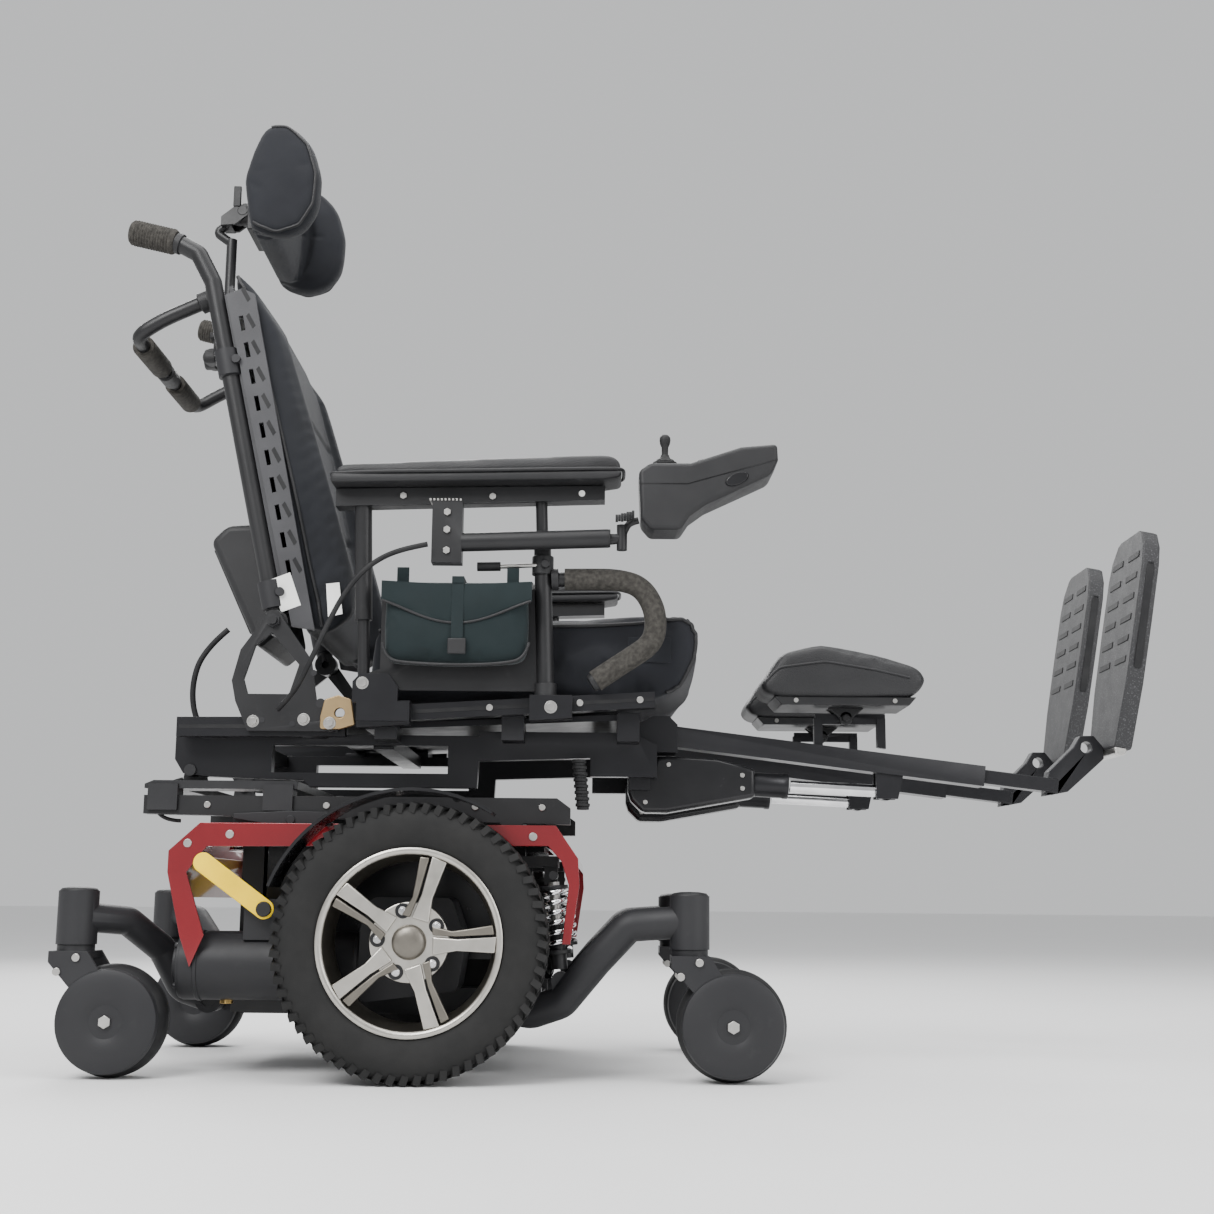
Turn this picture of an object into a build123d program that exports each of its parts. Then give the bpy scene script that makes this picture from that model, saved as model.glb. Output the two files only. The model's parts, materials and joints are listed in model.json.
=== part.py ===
from build123d import *
import os
from math import cos, hypot, radians, sin, tan

os.makedirs("parts", exist_ok=True)

# Power wheelchair. Millimetres, +X forward, +Y to the user's left, +Z up.
# The origin is on the floor, under the middle of the whole chair.

# ---- driving dimensions ----
RUN = 0.05                      # radial clearance of a pin in its bore
GAP = 0.4                       # clearance between pieces that slide past each other

WHEEL_RADIUS = 176              # 14 inch drive wheel
WHEEL_WIDTH = 76
RIM_RADIUS = 119
WHEEL_X = -271
WHEEL_Y = 287                   # half of the drive track
AXLE_RADIUS = 12

CASTER_RADIUS = 72              # 6 inch caster
CASTER_WIDTH = 44
CASTER_TRAIL = 54
CASTER_AXLE = 6
CASTER_Y = 235                  # half of the caster track
FRONT_STEM_X = 87
REAR_STEM_X = -715
BARREL_RADIUS = 26
BARREL_BOTTOM = 168
BARREL_TOP = 237
STEM_RADIUS = 12
FORK_PLATE = 6
FORK_GAP = 5                    # air between caster wheel and fork leg

SEAT_HALF = 226                 # half of the seat cushion's width
BACK_HALF = 206                 # half of the back cushion's width
RAIL_Y = 242                    # middle of the accessory rails
RAIL_WIDTH = 24
ARM_Y = 262                     # middle of the armrest posts
POST_RADIUS = 11.5
INNER_RADIUS = 8
PAD_WIDTH = 74
POST_LEAN = 0.035              # backward lean of the armrest posts, per unit of height
ARM_DROP = {"right": 0, "left": 67}     # how far each armrest is set below its high place

CANE_Y = 205
CANE_RADIUS = 12.5
LEG_Y = 130
LEG_WIDTH = 38
LEG_DEPTH = 26
LEG_WALL = 4
JOY_Y = 290

SIDES = {"right": -1, "left": 1}

# pivots, as (x, z) in the side view
AXLE = (WHEEL_X, WHEEL_RADIUS)
TILT_PIVOT = (-590, 400)
RECLINE_PIVOT = (-477, 600)
KNEE = (50, 458)
ANKLE = (644, 446)
FLIP_PIVOT = (-347, 510)
FRONT_ARM_PIVOT = (-165, 92)
REAR_ARM_PIVOT = (-560, 95)
LEVER_PIVOT = (-470, 215)
ACTUATOR_PIVOT = (22, 398)
ROD_EYE = (365, 383)
HEAD_PIVOT = (-597, 1282)
CALF_PIVOT = (310, 484)


# ---- shapes that repeat ----
def side_plane(y):
    """The side view at a given y: sketch x runs forward, sketch y runs up."""
    return Plane(origin=(0, y, 0), x_dir=(1, 0, 0), z_dir=(0, -1, 0))


def plate(points, y, thickness, corner=0, mode=Mode.ADD):
    """A flat plate with a straight-sided outline in the side view, centred on y."""
    with BuildSketch(side_plane(y)) as outline:
        with BuildLine():
            Polyline(*points, close=True)
        make_face()
        if corner:
            fillet(outline.vertices(), corner)
    extrude(outline.sketch, amount=thickness / 2, both=True, mode=mode)


def disc(center, radius, y, thickness, mode=Mode.ADD):
    """A round piece with its axis along Y, centred on y."""
    with BuildSketch(side_plane(y)) as outline:
        with Locations(center):
            Circle(radius)
    extrude(outline.sketch, amount=thickness / 2, both=True, mode=mode)


def bar_points(start, end, depth):
    """The four corners of a bar from start to end, depth deep, in the side view."""
    length = hypot(end[0] - start[0], end[1] - start[1])
    across = ((end[1] - start[1]) / length * depth / 2, -(end[0] - start[0]) / length * depth / 2)
    return [
        (start[0] + across[0], start[1] + across[1]),
        (end[0] + across[0], end[1] + across[1]),
        (end[0] - across[0], end[1] - across[1]),
        (start[0] - across[0], start[1] - across[1]),
    ]


def bar(start, end, depth, y, width, mode=Mode.ADD):
    """A straight bar in the side view."""
    plate(bar_points(start, end, depth), y, width, mode=mode)


def along(start, end, distance):
    """The point that lies distance from start on the line towards end."""
    length = hypot(end[0] - start[0], end[1] - start[1])
    share = distance / length
    return (start[0] + (end[0] - start[0]) * share, start[1] + (end[1] - start[1]) * share)


def block(x_span, y_span, z_span, mode=Mode.ADD):
    """A block between two corners. Each span may be given either way round."""
    with BuildSketch(Plane.XY.offset(min(z_span))) as outline:
        with Locations((sum(x_span) / 2, sum(y_span) / 2)):
            Rectangle(abs(x_span[1] - x_span[0]), abs(y_span[1] - y_span[0]))
    extrude(outline.sketch, amount=abs(z_span[1] - z_span[0]), mode=mode)


def post(x, y, z_span, radius, mode=Mode.ADD):
    """An upright round piece."""
    with BuildSketch(Plane.XY.offset(min(z_span))) as outline:
        with Locations((x, y)):
            Circle(radius)
    extrude(outline.sketch, amount=abs(z_span[1] - z_span[0]), mode=mode)


def rod(start, end, radius, mode=Mode.ADD):
    """A straight round bar between two points in space."""
    line = Vector(*end) - Vector(*start)
    with BuildSketch(Plane(origin=start, z_dir=line)) as outline:
        Circle(radius)
    extrude(outline.sketch, amount=line.length, mode=mode)


def tube(points, radius, bend, bore=0):
    """A bent round tube or bar through points in space."""
    with BuildLine() as route:
        FilletPolyline(*points, radius=bend)
    with BuildSketch(Plane(origin=route.line @ 0, z_dir=route.line % 0)) as outline:
        Circle(radius)
        if bore:
            Circle(bore, mode=Mode.SUBTRACT)
    sweep(outline.sketch, path=route.line)


def finish(piece, name):
    """Labels a finished sub-part and writes it."""
    piece.label = name
    export_step(piece, f"parts/{name}.step")


# ---- base: chassis, batteries, covers, motors ----
CHASSIS_Y = 125                 # middle of each chassis side rail
CHASSIS_WIDTH = 36
RAIL_TOP = 365                  # top of the rails that the seat carriage runs on
TRACK_Y = 192
TRACK_WIDTH = 25
BODY_HALF = 240                 # half width of the coloured shroud
SHROUD_WALL = 4
MOTOR_Y = 190
MOTOR_RADIUS = 45
MOTOR_Z = 141
DOCK_X = -330                   # bolt holes for a docking bracket under the chassis
DOCK_LENGTH = 240
DOCK_WIDTH = 160
DOCK_HOLE = 4.25
SHOCK_TOP = (-93, 262)
SHOCK_FOOT = (-82, 126)
SHOCK_Y = 216

with BuildPart() as chassis_frame:
    for side in SIDES.values():
        block((-530, -110),
            (side * (CHASSIS_Y - CHASSIS_WIDTH / 2), side * (CHASSIS_Y + CHASSIS_WIDTH / 2)), (78, 112))
        plate([(-580, 78), (-520, 78), (-520, 112), (-580, 112)], side * 100, 10)
        block((-535, -520), (side * 95, side * 110), (78, 112))
        disc(REAR_ARM_PIVOT, 10, side * 120, 50)
        disc(FRONT_ARM_PIVOT, 10, side * 180, 90)
        for x in (-510, -150):
            block((x - 15, x + 15), (side * 108, side * 132), (100, 330))
            block((x - 15, x + 15), (side * 108, side * (TRACK_Y + TRACK_WIDTH / 2)), (322, 340))
        plate([(-646, 340), (-72, 330), (-72, 352), (-90, RAIL_TOP), (-646, RAIL_TOP)], side * TRACK_Y,
            TRACK_WIDTH)
        block((-140, -88), (side * 115, side * 200), (274, 288))
        block((-106, -88), (side * 186, side * 196), (250, 280))
        disc(SHOCK_TOP, 6, side * (SHOCK_Y - 7), 34)
    for x in (-535, -330, -125):
        block((x - 12, x + 12), (-110, 110), (78, 100))
    block((-523, -137), (-110, 110), (74, 80))
    with BuildSketch(Plane.XY.offset(74)) as holes:
        with Locations((DOCK_X, 0)):
            with GridLocations(DOCK_LENGTH, DOCK_WIDTH, 2, 2):
                Circle(DOCK_HOLE)
    extrude(holes.sketch, amount=6, mode=Mode.SUBTRACT)

with BuildPart() as battery_pack:
    for x in (-432, -238):
        block((x - 86, x + 86), (-92, 92), (101, 290))
    fillet(battery_pack.edges().filter_by(Axis.Z), 6)

with BuildPart() as red_shroud:
    plate(
        [(-600, 290), (-560, 327), (-90, 327), (-60, 284), (-58, 249), (-69, 173), (-80, 173), (-72, 249),
         (-82, 280), (-100, 300), (-550, 296), (-575, 262), (-548, 181), (-565, 140), (-580, 180),
         (-600, 262)],
        0, 2 * BODY_HALF)
    plate(
        [(-590, 286), (-556, 319), (-94, 319), (-68, 282), (-40, 249), (-50, 100), (-85, 100), (-80, 249),
         (-90, 282), (-100, 301), (-550, 301), (-560, 262), (-540, 181), (-540, 100), (-700, 100),
         (-700, 180),
         (-592, 180), (-592, 262)],
        0, 2 * (BODY_HALF - SHROUD_WALL), mode=Mode.SUBTRACT)
    block((-545, -105), (-205, 205), (290, 340), mode=Mode.SUBTRACT)
    for side in SIDES.values():
        block((-565, -130), (side * 100, side * 210), (290, 340), mode=Mode.SUBTRACT)

MUDGUARD_RADIUS = 190
MUDGUARD_WALL = 4

with BuildPart() as base_cover:
    block((-540, -110), (-104, 104), (296, 318))
    for side in SIDES.values():
        block((-490, -175), (side * 104, side * 150), (300, 318))
        plate([(-488, 150), (-172, 150), (-172, 300), (-488, 300)], side * 140, 4)
        with BuildSketch(side_plane(side * (WHEEL_Y + 1))) as guard:
            with Locations(AXLE):
                Circle(MUDGUARD_RADIUS + MUDGUARD_WALL)
                Circle(MUDGUARD_RADIUS, mode=Mode.SUBTRACT)
            with BuildLine():
                Polyline(AXLE, (WHEEL_X + 250, WHEEL_RADIUS + 400), (WHEEL_X - 500, WHEEL_RADIUS + 400),
                         (WHEEL_X - 500, WHEEL_RADIUS + 190), close=True)
            make_face(mode=Mode.INTERSECT)
        extrude(guard.sketch, amount=WHEEL_WIDTH / 2 - 1, both=True)
        for turn in (75, 128):
            reach = MUDGUARD_RADIUS + MUDGUARD_WALL / 2
            spot = (WHEEL_X + reach * cos(radians(turn)), WHEEL_RADIUS + reach * sin(radians(turn)))
            disc(spot, 5, side * 246, 12)

with BuildPart() as drive_motors:
    for side in SIDES.values():
        with BuildSketch(Plane(origin=(-582, side * MOTOR_Y, MOTOR_Z), z_dir=(1, 0, 0))):
            Circle(MOTOR_RADIUS)
        extrude(amount=250)
        plate([(-345, 96), (-215, 112), (-205, 176), (-225, 232), (-330, 232), (-345, 190)],
            side * 196, 84, corner=12)
        block((-500, -432), (side * 165, side * 225), (175, 228))
        disc(LEVER_PIVOT, 8, side * 233, 18)
        disc(AXLE, AXLE_RADIUS, side * 268, 76)

SPRING_RADIUS = 16
SPRING_WIRE = 3
SPRING_PITCH = 14


def shock_piece(side, start, stop, radius):
    """A round piece on the shock's line, between two distances from its top."""
    upper = along(SHOCK_TOP, SHOCK_FOOT, start)
    lower = along(SHOCK_TOP, SHOCK_FOOT, stop)
    rod((upper[0], side * SHOCK_Y, upper[1]), (lower[0], side * SHOCK_Y, lower[1]), radius)


with BuildPart() as shock_absorbers:
    for side in SIDES.values():
        shock_piece(side, 8, 80, 8)
        shock_piece(side, 80, 121, 12)
        shock_piece(side, 12, 18, 19)
        shock_piece(side, 96, 102, 19)
        upper = along(SHOCK_TOP, SHOCK_FOOT, 22)
        lower = along(SHOCK_TOP, SHOCK_FOOT, 92)
        line = Vector(upper[0] - lower[0], 0, upper[1] - lower[1])
        with BuildLine() as turns:
            Helix(SPRING_PITCH, line.length, SPRING_RADIUS,
                center=(lower[0], side * SHOCK_Y, lower[1]), direction=line)
        with BuildSketch(Plane(origin=turns.line @ 0, z_dir=turns.line % 0)) as wire:
            Circle(SPRING_WIRE)
        sweep(wire.sketch, path=turns.line, is_frenet=True)


def make_lever(side):
    """Yellow paddle that frees a drive wheel from its motor."""
    tip = along(LEVER_PIVOT, (-553, 275), 102)
    with BuildPart() as lever:
        bar(LEVER_PIVOT, tip, 26, side * 243.5, 3)
        disc(LEVER_PIVOT, 13, side * 243.5, 3)
        disc(tip, 13, side * 243.5, 3)
    return lever.part


# ---- wheels ----
LUG_CIRCLE = 40
LUG_COUNT = 5


def make_tyre(side):
    """Drive tyre with rounded shoulders."""
    with BuildPart() as tyre:
        disc(AXLE, WHEEL_RADIUS, side * WHEEL_Y, WHEEL_WIDTH)
        fillet(tyre.edges().filter_by(GeomType.CIRCLE), 16)
        disc(AXLE, RIM_RADIUS, side * WHEEL_Y, WHEEL_WIDTH, mode=Mode.SUBTRACT)
    return tyre.part


def make_rim(side):
    """Five-spoke rim with its hub, windows and lug bolts."""
    with BuildPart() as rim:
        disc(AXLE, RIM_RADIUS, side * WHEEL_Y, WHEEL_WIDTH - 16)
        disc(AXLE, RIM_RADIUS - 9, side * WHEEL_Y, WHEEL_WIDTH - 16, mode=Mode.SUBTRACT)
        disc(AXLE, RIM_RADIUS - 5, side * (WHEEL_Y + 12), 14)
        disc(AXLE, 36, side * (WHEEL_Y + 4), 46)
        for index in range(LUG_COUNT):
            turn = 36 + 72 * index
            with BuildSketch(side_plane(side * (WHEEL_Y + 12))):
                with Locations(Location((WHEEL_X, WHEEL_RADIUS), turn)):
                    with Locations((78, 0)):
                        Trapezoid(74, 40, 72, rotation=90)
            extrude(amount=8, both=True, mode=Mode.SUBTRACT)
        for index in range(LUG_COUNT):
            turn = radians(31 + 72 * index)
            spot = (WHEEL_X + LUG_CIRCLE * cos(turn), WHEEL_RADIUS + LUG_CIRCLE * sin(turn))
            disc(spot, 7, side * (WHEEL_Y + 20), 16)
        disc(AXLE, AXLE_RADIUS + RUN, side * (WHEEL_Y - 8), 56, mode=Mode.SUBTRACT)
    return rim.part


def make_caster(stem_x, side):
    """Caster wheel, tyre and hub in one."""
    center = (stem_x + CASTER_TRAIL, CASTER_RADIUS)
    with BuildPart() as caster:
        disc(center, CASTER_RADIUS, side * CASTER_Y, CASTER_WIDTH)
        fillet(caster.edges().filter_by(GeomType.CIRCLE), 14)
        disc(center, CASTER_AXLE + RUN, side * CASTER_Y, CASTER_WIDTH, mode=Mode.SUBTRACT)
    return caster.part


def make_fork(stem_x, side):
    """Caster fork: stem, crown, two legs, round covers and the axle."""
    center = (stem_x + CASTER_TRAIL, CASTER_RADIUS)
    y = side * CASTER_Y
    leg_middle = CASTER_WIDTH / 2 + FORK_GAP + FORK_PLATE / 2
    with BuildPart() as fork:
        post(stem_x, y, (150, 230), STEM_RADIUS)
        post(stem_x, y, (150, BARREL_BOTTOM - GAP), 24)
        block((stem_x - 25, stem_x + 25), (y - leg_middle - 3, y + leg_middle + 3), (150, 160))
        for turn in (-1, 1):
            leg_y = y + turn * leg_middle
            plate(
                [(stem_x - 25, 160), (stem_x + 25, 160), (center[0] + 16, 90), (center[0] + 16, 60),
                 (center[0] - 16, 60), (center[0] - 20, 80), (stem_x - 25, 146)], leg_y, FORK_PLATE)
            disc(center, 34, y + turn * (leg_middle + 5), 4)
        disc(center, CASTER_AXLE, y, 2 * (leg_middle + 7))
    return fork.part


# ---- suspension arms ----
ARM_TUBE = 21


def make_front_arm(side):
    """Curved front arm with its caster barrel, pivot boss and shock lug."""
    y = side * CASTER_Y
    with BuildPart() as arm:
        tube(
            [(FRONT_STEM_X - 10, y, 203), (8, side * 232, 198), (-35, side * 224, 152),
                (-80, side * 214, 98),
             (-120, side * 202, 84), (FRONT_ARM_PIVOT[0], side * 198, FRONT_ARM_PIVOT[1])],
            ARM_TUBE, 22)
        post(FRONT_STEM_X, y, (BARREL_BOTTOM, BARREL_TOP), BARREL_RADIUS)
        disc(FRONT_ARM_PIVOT, ARM_TUBE, side * 194, 54)
        disc(SHOCK_FOOT, 12, side * SHOCK_Y, 14)
        block((-93, -71), (side * (SHOCK_Y - 7), side * (SHOCK_Y + 7)), (96, 126))
        post(FRONT_STEM_X, y, (150, 232), STEM_RADIUS + RUN, mode=Mode.SUBTRACT)
        disc(FRONT_ARM_PIVOT, 10 + RUN, side * 194, 60, mode=Mode.SUBTRACT)
    return arm.part


def make_rear_arm(side):
    """Curved rear arm with its caster barrel and pivot boss."""
    y = side * CASTER_Y
    with BuildPart() as arm:
        tube(
            [(REAR_STEM_X + 10, y, 203), (-662, side * 190, 198), (-625, side * 146, 160),
             (-600, side * 130, 108), (REAR_ARM_PIVOT[0], side * 130, REAR_ARM_PIVOT[1])],
            19, 20)
        post(REAR_STEM_X, y, (BARREL_BOTTOM, BARREL_TOP), BARREL_RADIUS)
        disc(REAR_ARM_PIVOT, 19, side * 128, 34)
        post(REAR_STEM_X, y, (150, 232), STEM_RADIUS + RUN, mode=Mode.SUBTRACT)
        disc(REAR_ARM_PIVOT, 10 + RUN, side * 128, 60, mode=Mode.SUBTRACT)
    return arm.part


# ---- seat: carriage, frame, cushion, quadrants, hooks ----
FRAME_Y = 176                   # middle of each side plate of the seat frame
FRAME_WIDTH = 20
CUSHION_REAR = -350
CUSHION_FRONT = 111
PAN_TOP = 492
QUADRANT_Y = 226
QUADRANT_WALL = 7
TIE_HOLE = (-381, 474)
TIE_RADIUS = 6.5
HOOK_Y = 237
HOOK_WALL = 8

with BuildPart() as tilt_carriage:
    plate([(-646, 374), (-440, 374), (-440, 385), (-634, 385), (-646, 380)], 0, 410)
    block((-600, -480), (-150, 150), (370, 390), mode=Mode.SUBTRACT)
    for side in SIDES.values():
        for x in (-620, -465):
            block((x - 20, x + 20), (side * (TRACK_Y - 14), side * (TRACK_Y + 16)), (RAIL_TOP + GAP, 374))
            block((x - 20, x + 20), (side * (TRACK_Y + 13), side * (TRACK_Y + 18)), (345, 380))
        plate([(-606, 385), (-572, 385), (-578, 412), (-602, 412)], side * 158, 8)
        block((-606, -572), (side * 150, side * 162), (374, 386))
        disc(TILT_PIVOT, 8, side * 170, 40)

with BuildPart() as seat_frame:
    for side in SIDES.values():
        plate(
            [(-612, 450), (-612, 415), (-600, 396), (-570, 392), (-436, 388), (-428, 379), (-200, 379),
                (-198, 416), (-46, 421),
             (-46, 396), (45, 396), (45, 440), (10, 456), (-198, 456), (-198, 450)],
            side * FRAME_Y, FRAME_WIDTH)
        plate([(-480, 398), (-240, 398), (-240, 436), (-480, 436)], side * FRAME_Y, FRAME_WIDTH,
            mode=Mode.SUBTRACT)
        disc(TILT_PIVOT, 8 + RUN, side * FRAME_Y, FRAME_WIDTH, mode=Mode.SUBTRACT)
        bar((-603, 456), (-376, 458), 26, side * 213, 18)
        bar((-356, 470), (40, 494), 21, side * RAIL_Y, RAIL_WIDTH)
        for x in (-560, -420):
            block((x - 15, x + 15), (side * (FRAME_Y - 8), side * 215), (444, 456))
        for x in (-320, -150, 5):
            block((x - 15, x + 15), (side * (FRAME_Y - 10), side * (RAIL_Y - 11)), (440, 478))
        plate([(-354, 452), (-284, 456), (-284, 488), (-354, 488)], side * ARM_Y, 16)
        plate([(-360, 484), (-300, 486), (-300, 505), (-312, 523), (-350, 523), (-360, 512)],
            side * (ARM_Y + 11), 6)
        block((-354, -284), (side * (ARM_Y + 6), side * (ARM_Y + 14)), (460, 486))
        disc(FLIP_PIVOT, 5, side * (ARM_Y + 4), 18)
        plate([(-126, 462), (-70, 466), (-70, 496), (-126, 496)], side * ARM_Y, 30)
        post(-105, side * ARM_Y, (476, 500), POST_RADIUS + 2, mode=Mode.SUBTRACT)
        for offset in (-32, 32):
            plate([(18, 432), (74, 432), (74, 470), (62, 482), (40, 482), (18, 470)],
                side * LEG_Y + offset, 7)
        block((-10, 19), (side * (LEG_Y - 35), side * (FRAME_Y - 8)), (432, 470))
        disc(KNEE, 9, side * LEG_Y, 68)
        for offset in (-32, 32):
            plate([(8, 380), (36, 380), (36, 434), (18, 434), (8, 420)], side * LEG_Y + offset, 7)
        disc(ACTUATOR_PIVOT, 6, side * LEG_Y, 68)
    for x in (-540, -330, -30):
        block((x - 14, x + 14), (-170, 170), (432, 450))
    plate([(-352, 456), (10, 472), (10, 480), (-352, 464)], 0, 2 * 200)
    plate([(-420, 458), (-340, 458), (-340, 466), (-420, 466)], 0, 2 * 200)

with BuildPart() as seat_cushion:
    plate(
        [(CUSHION_REAR, PAN_TOP - 4), (50, PAN_TOP + 4), (84, 505), (107, 550), (111, 591), (98, 616),
            (CUSHION_REAR, 604)],
        0, 2 * SEAT_HALF)

with BuildPart() as tie_down_hooks:
    for side in SIDES.values():
        plate(
            [(-407, 452), (-380, 452), (-360, 458), (-366, 492), (-384, 498), (-402, 492), (-407, 470)],
            side * HOOK_Y, HOOK_WALL, corner=4)
        disc(TIE_HOLE, TIE_RADIUS, side * HOOK_Y, HOOK_WALL, mode=Mode.SUBTRACT)

with BuildPart() as recline_quadrants:
    for side in SIDES.values():
        plate(
            [(-492, 600), (-484, 614), (-470, 614), (-462, 600), (-424, 547), (-415, 493), (-400, 478),
                (-400, 450),
             (-506, 450), (-524, 490), (-530, 518), (-520, 560)],
            side * QUADRANT_Y, QUADRANT_WALL)
        plate([(-500, 566), (-478, 584), (-440, 540), (-452, 500), (-508, 500), (-514, 520)],
            side * QUADRANT_Y,
              QUADRANT_WALL, mode=Mode.SUBTRACT)
        disc((-394, 458), 9, side * 231, 4)
        block((-404, -384), (side * QUADRANT_Y - 3.5, side * QUADRANT_Y + 3.5), (450, 466))
        disc(RECLINE_PIVOT, 6, side * 222, 34)


# ---- back: canes, grips, shell, cushion, box, push bar, headrest ----
CANE_FOOT = (-476, 606)
CANE_TOP = (-588, 1096)
BACK_LEAN = (CANE_TOP[0] - CANE_FOOT[0], CANE_TOP[1] - CANE_FOOT[1])


def back_point(up, forward):
    """A point up along the canes from the recline pivot, and forward of their line."""
    length = hypot(*BACK_LEAN)
    lean_x = BACK_LEAN[0] / length
    lean_z = BACK_LEAN[1] / length
    return (RECLINE_PIVOT[0] + up * lean_x + forward * lean_z,
        RECLINE_PIVOT[1] + up * lean_z - forward * lean_x)


HEAD_STEM_X = -615

with BuildPart() as back_canes:
    for side in SIDES.values():
        y = side * CANE_Y
        low = back_point(0, 0)
        top = back_point(504, 0)
        tube([(low[0], y, low[1]), (top[0], y, top[1]), (-612, y, 1134), (-642, y, 1150)], CANE_RADIUS, 16)
        disc(RECLINE_PIVOT, 17, y, 24)
        disc(RECLINE_PIVOT, 6 + RUN, y, 40, mode=Mode.SUBTRACT)
    for up in (70, 400):
        spot = back_point(up, 0)
        rod((spot[0], -CANE_Y, spot[1]), (spot[0], CANE_Y, spot[1]), 9)
    plate([back_point(404, 9), back_point(530, 9), back_point(530, -3), back_point(404, -3)], 0, 90)
    block((-628, -588), (-30, 30), (1044, 1096))
    post(HEAD_STEM_X, 0, (1036, 1106), 14)
    disc((-634, 1045), 14, 0, 26)
    post(HEAD_STEM_X, 0, (1020, 1120), INNER_RADIUS + RUN, mode=Mode.SUBTRACT)

with BuildPart() as push_grips:
    for side in SIDES.values():
        y = side * CANE_Y
        rod((-650, y, 1152), (-706, y, 1165), 18)
        rod((-706, y, 1165), (-711, y, 1166), 14)

with BuildPart() as back_shell:
    plate([back_point(60, 18), back_point(500, 18), back_point(500, 24), back_point(60, 24)], 0, 2 * 190)
    for side in SIDES.values():
        plate([back_point(-22, 50), back_point(-10, 20), back_point(478, 16), back_point(482, 40),
            back_point(470, 56)],
              side * 213, 6)
        for up in range(60, 460, 40):
            plate([back_point(up, 28), back_point(up + 22, 28), back_point(up + 22, 34),
                back_point(up, 34)],
                  side * 213, 6, mode=Mode.SUBTRACT)
        plate([back_point(40, 12.6), back_point(480, 12.6), back_point(480, 24), back_point(40, 24)],
            side * 199, 22)

with BuildPart() as back_cushion:
    plate(
        [back_point(-34, 70), back_point(-12, 108), back_point(40, 110), back_point(440, 76),
            back_point(500, 56),
         back_point(528, 30), back_point(510, 25), back_point(20, 25), back_point(-20, 57)],
        0, 2 * BACK_HALF)
    plate([back_point(60, 66), back_point(540, 66), back_point(540, 130), back_point(60, 130)], 0, 300,
        mode=Mode.SUBTRACT)

with BuildPart() as rear_box:
    plate([back_point(-10, -50), back_point(160, -88), back_point(178, -60), back_point(170, -12),
        back_point(10, -12)],
          0, 220)

PUSH_BAR_RADIUS = 10.5
PUSH_BAR_HALF = 178

with BuildPart() as stroller_bar:
    top = back_point(486, -2)
    tube(
        [(top[0] - 14, -PUSH_BAR_HALF, top[1]), (-662, -PUSH_BAR_HALF, 1048), (-702, -PUSH_BAR_HALF, 1018),
         (-702, PUSH_BAR_HALF, 1018), (-662, PUSH_BAR_HALF, 1048), (top[0] - 14, PUSH_BAR_HALF, top[1])],
        PUSH_BAR_RADIUS, 26)
    for side in SIDES.values():
        rod((top[0] - 4, side * PUSH_BAR_HALF, top[1]),
            (top[0] - 4, side * (CANE_Y - CANE_RADIUS), top[1]), 9)
        rod((-702, side * 40, 1018), (-702, side * 140, 1018), 16)
    disc((-702, 1018), 14, 0, 40)


with BuildPart() as headrest_stem:
    post(HEAD_STEM_X, 0, (1026, 1240), INNER_RADIUS)
    tube([(HEAD_STEM_X, 0, 1234), (-640, 0, 1252), (-618, 0, 1268)], 7, 6)
    for side in SIDES.values():
        plate([(-630, 1258), (-608, 1260), (-588, 1276), (-592, 1292), (-606, 1292), (-630, 1272)],
            side * 15, 5)
    block((-630, -614), (-17, 17), (1258, 1272))
    disc(HEAD_PIVOT, 4, 0, 34)

with BuildPart() as headrest_pad:
    plate(
        [(-562, 1200), (-520, 1186), (-480, 1200), (-458, 1240), (-456, 1290), (-470, 1340),
            (-505, 1376), (-545, 1378),
         (-562, 1330), (-576, 1282)],
        0, 280)
    plate([(-530, 1170), (-400, 1170), (-400, 1400), (-530, 1400)], 0, 190, mode=Mode.SUBTRACT)
    disc(HEAD_PIVOT, 9, 0, 24)
    plate([(-597, 1273), (-560, 1268), (-560, 1296), (-597, 1291)], 0, 24)
    disc(HEAD_PIVOT, 4 + RUN, 0, 30, mode=Mode.SUBTRACT)


# ---- armrests ----
REAR_POST_X = -347
FRONT_POST_X = -106
INNER_POST_FOOT = 594           # keeps the sliding post above its socket on the seat


def post_point(foot_x, y, z):
    """A point on a leaning armrest post."""
    return (foot_x - POST_LEAN * (z - FLIP_PIVOT[1]), y, z)


def make_arm_frame(side):
    """Lower armrest: boss on the flip pivot, side guard, fixed post and socket post."""
    drop = ARM_DROP["right"] if side < 0 else ARM_DROP["left"]
    y = side * ARM_Y
    with BuildPart() as frame:
        disc(FLIP_PIVOT, 11, y, 12)
        rod(post_point(REAR_POST_X, y, 512), post_point(REAR_POST_X, y, 672), INNER_RADIUS)
        rod(post_point(FRONT_POST_X, y, 480), post_point(FRONT_POST_X, y, 700 - drop), POST_RADIUS)
        plate([(-346, 502), (-108, 502), (-108, 640 - drop), (-326, 640 - drop),
            (-326, 530 - drop / 8), (-346, 524)], y, 4)
        rod(post_point(FRONT_POST_X, y, 504), post_point(FRONT_POST_X, y, 704 - drop),
            INNER_RADIUS + RUN, mode=Mode.SUBTRACT)
        disc(FLIP_PIVOT, 5 + RUN, y, 20, mode=Mode.SUBTRACT)
    return frame.part


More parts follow.
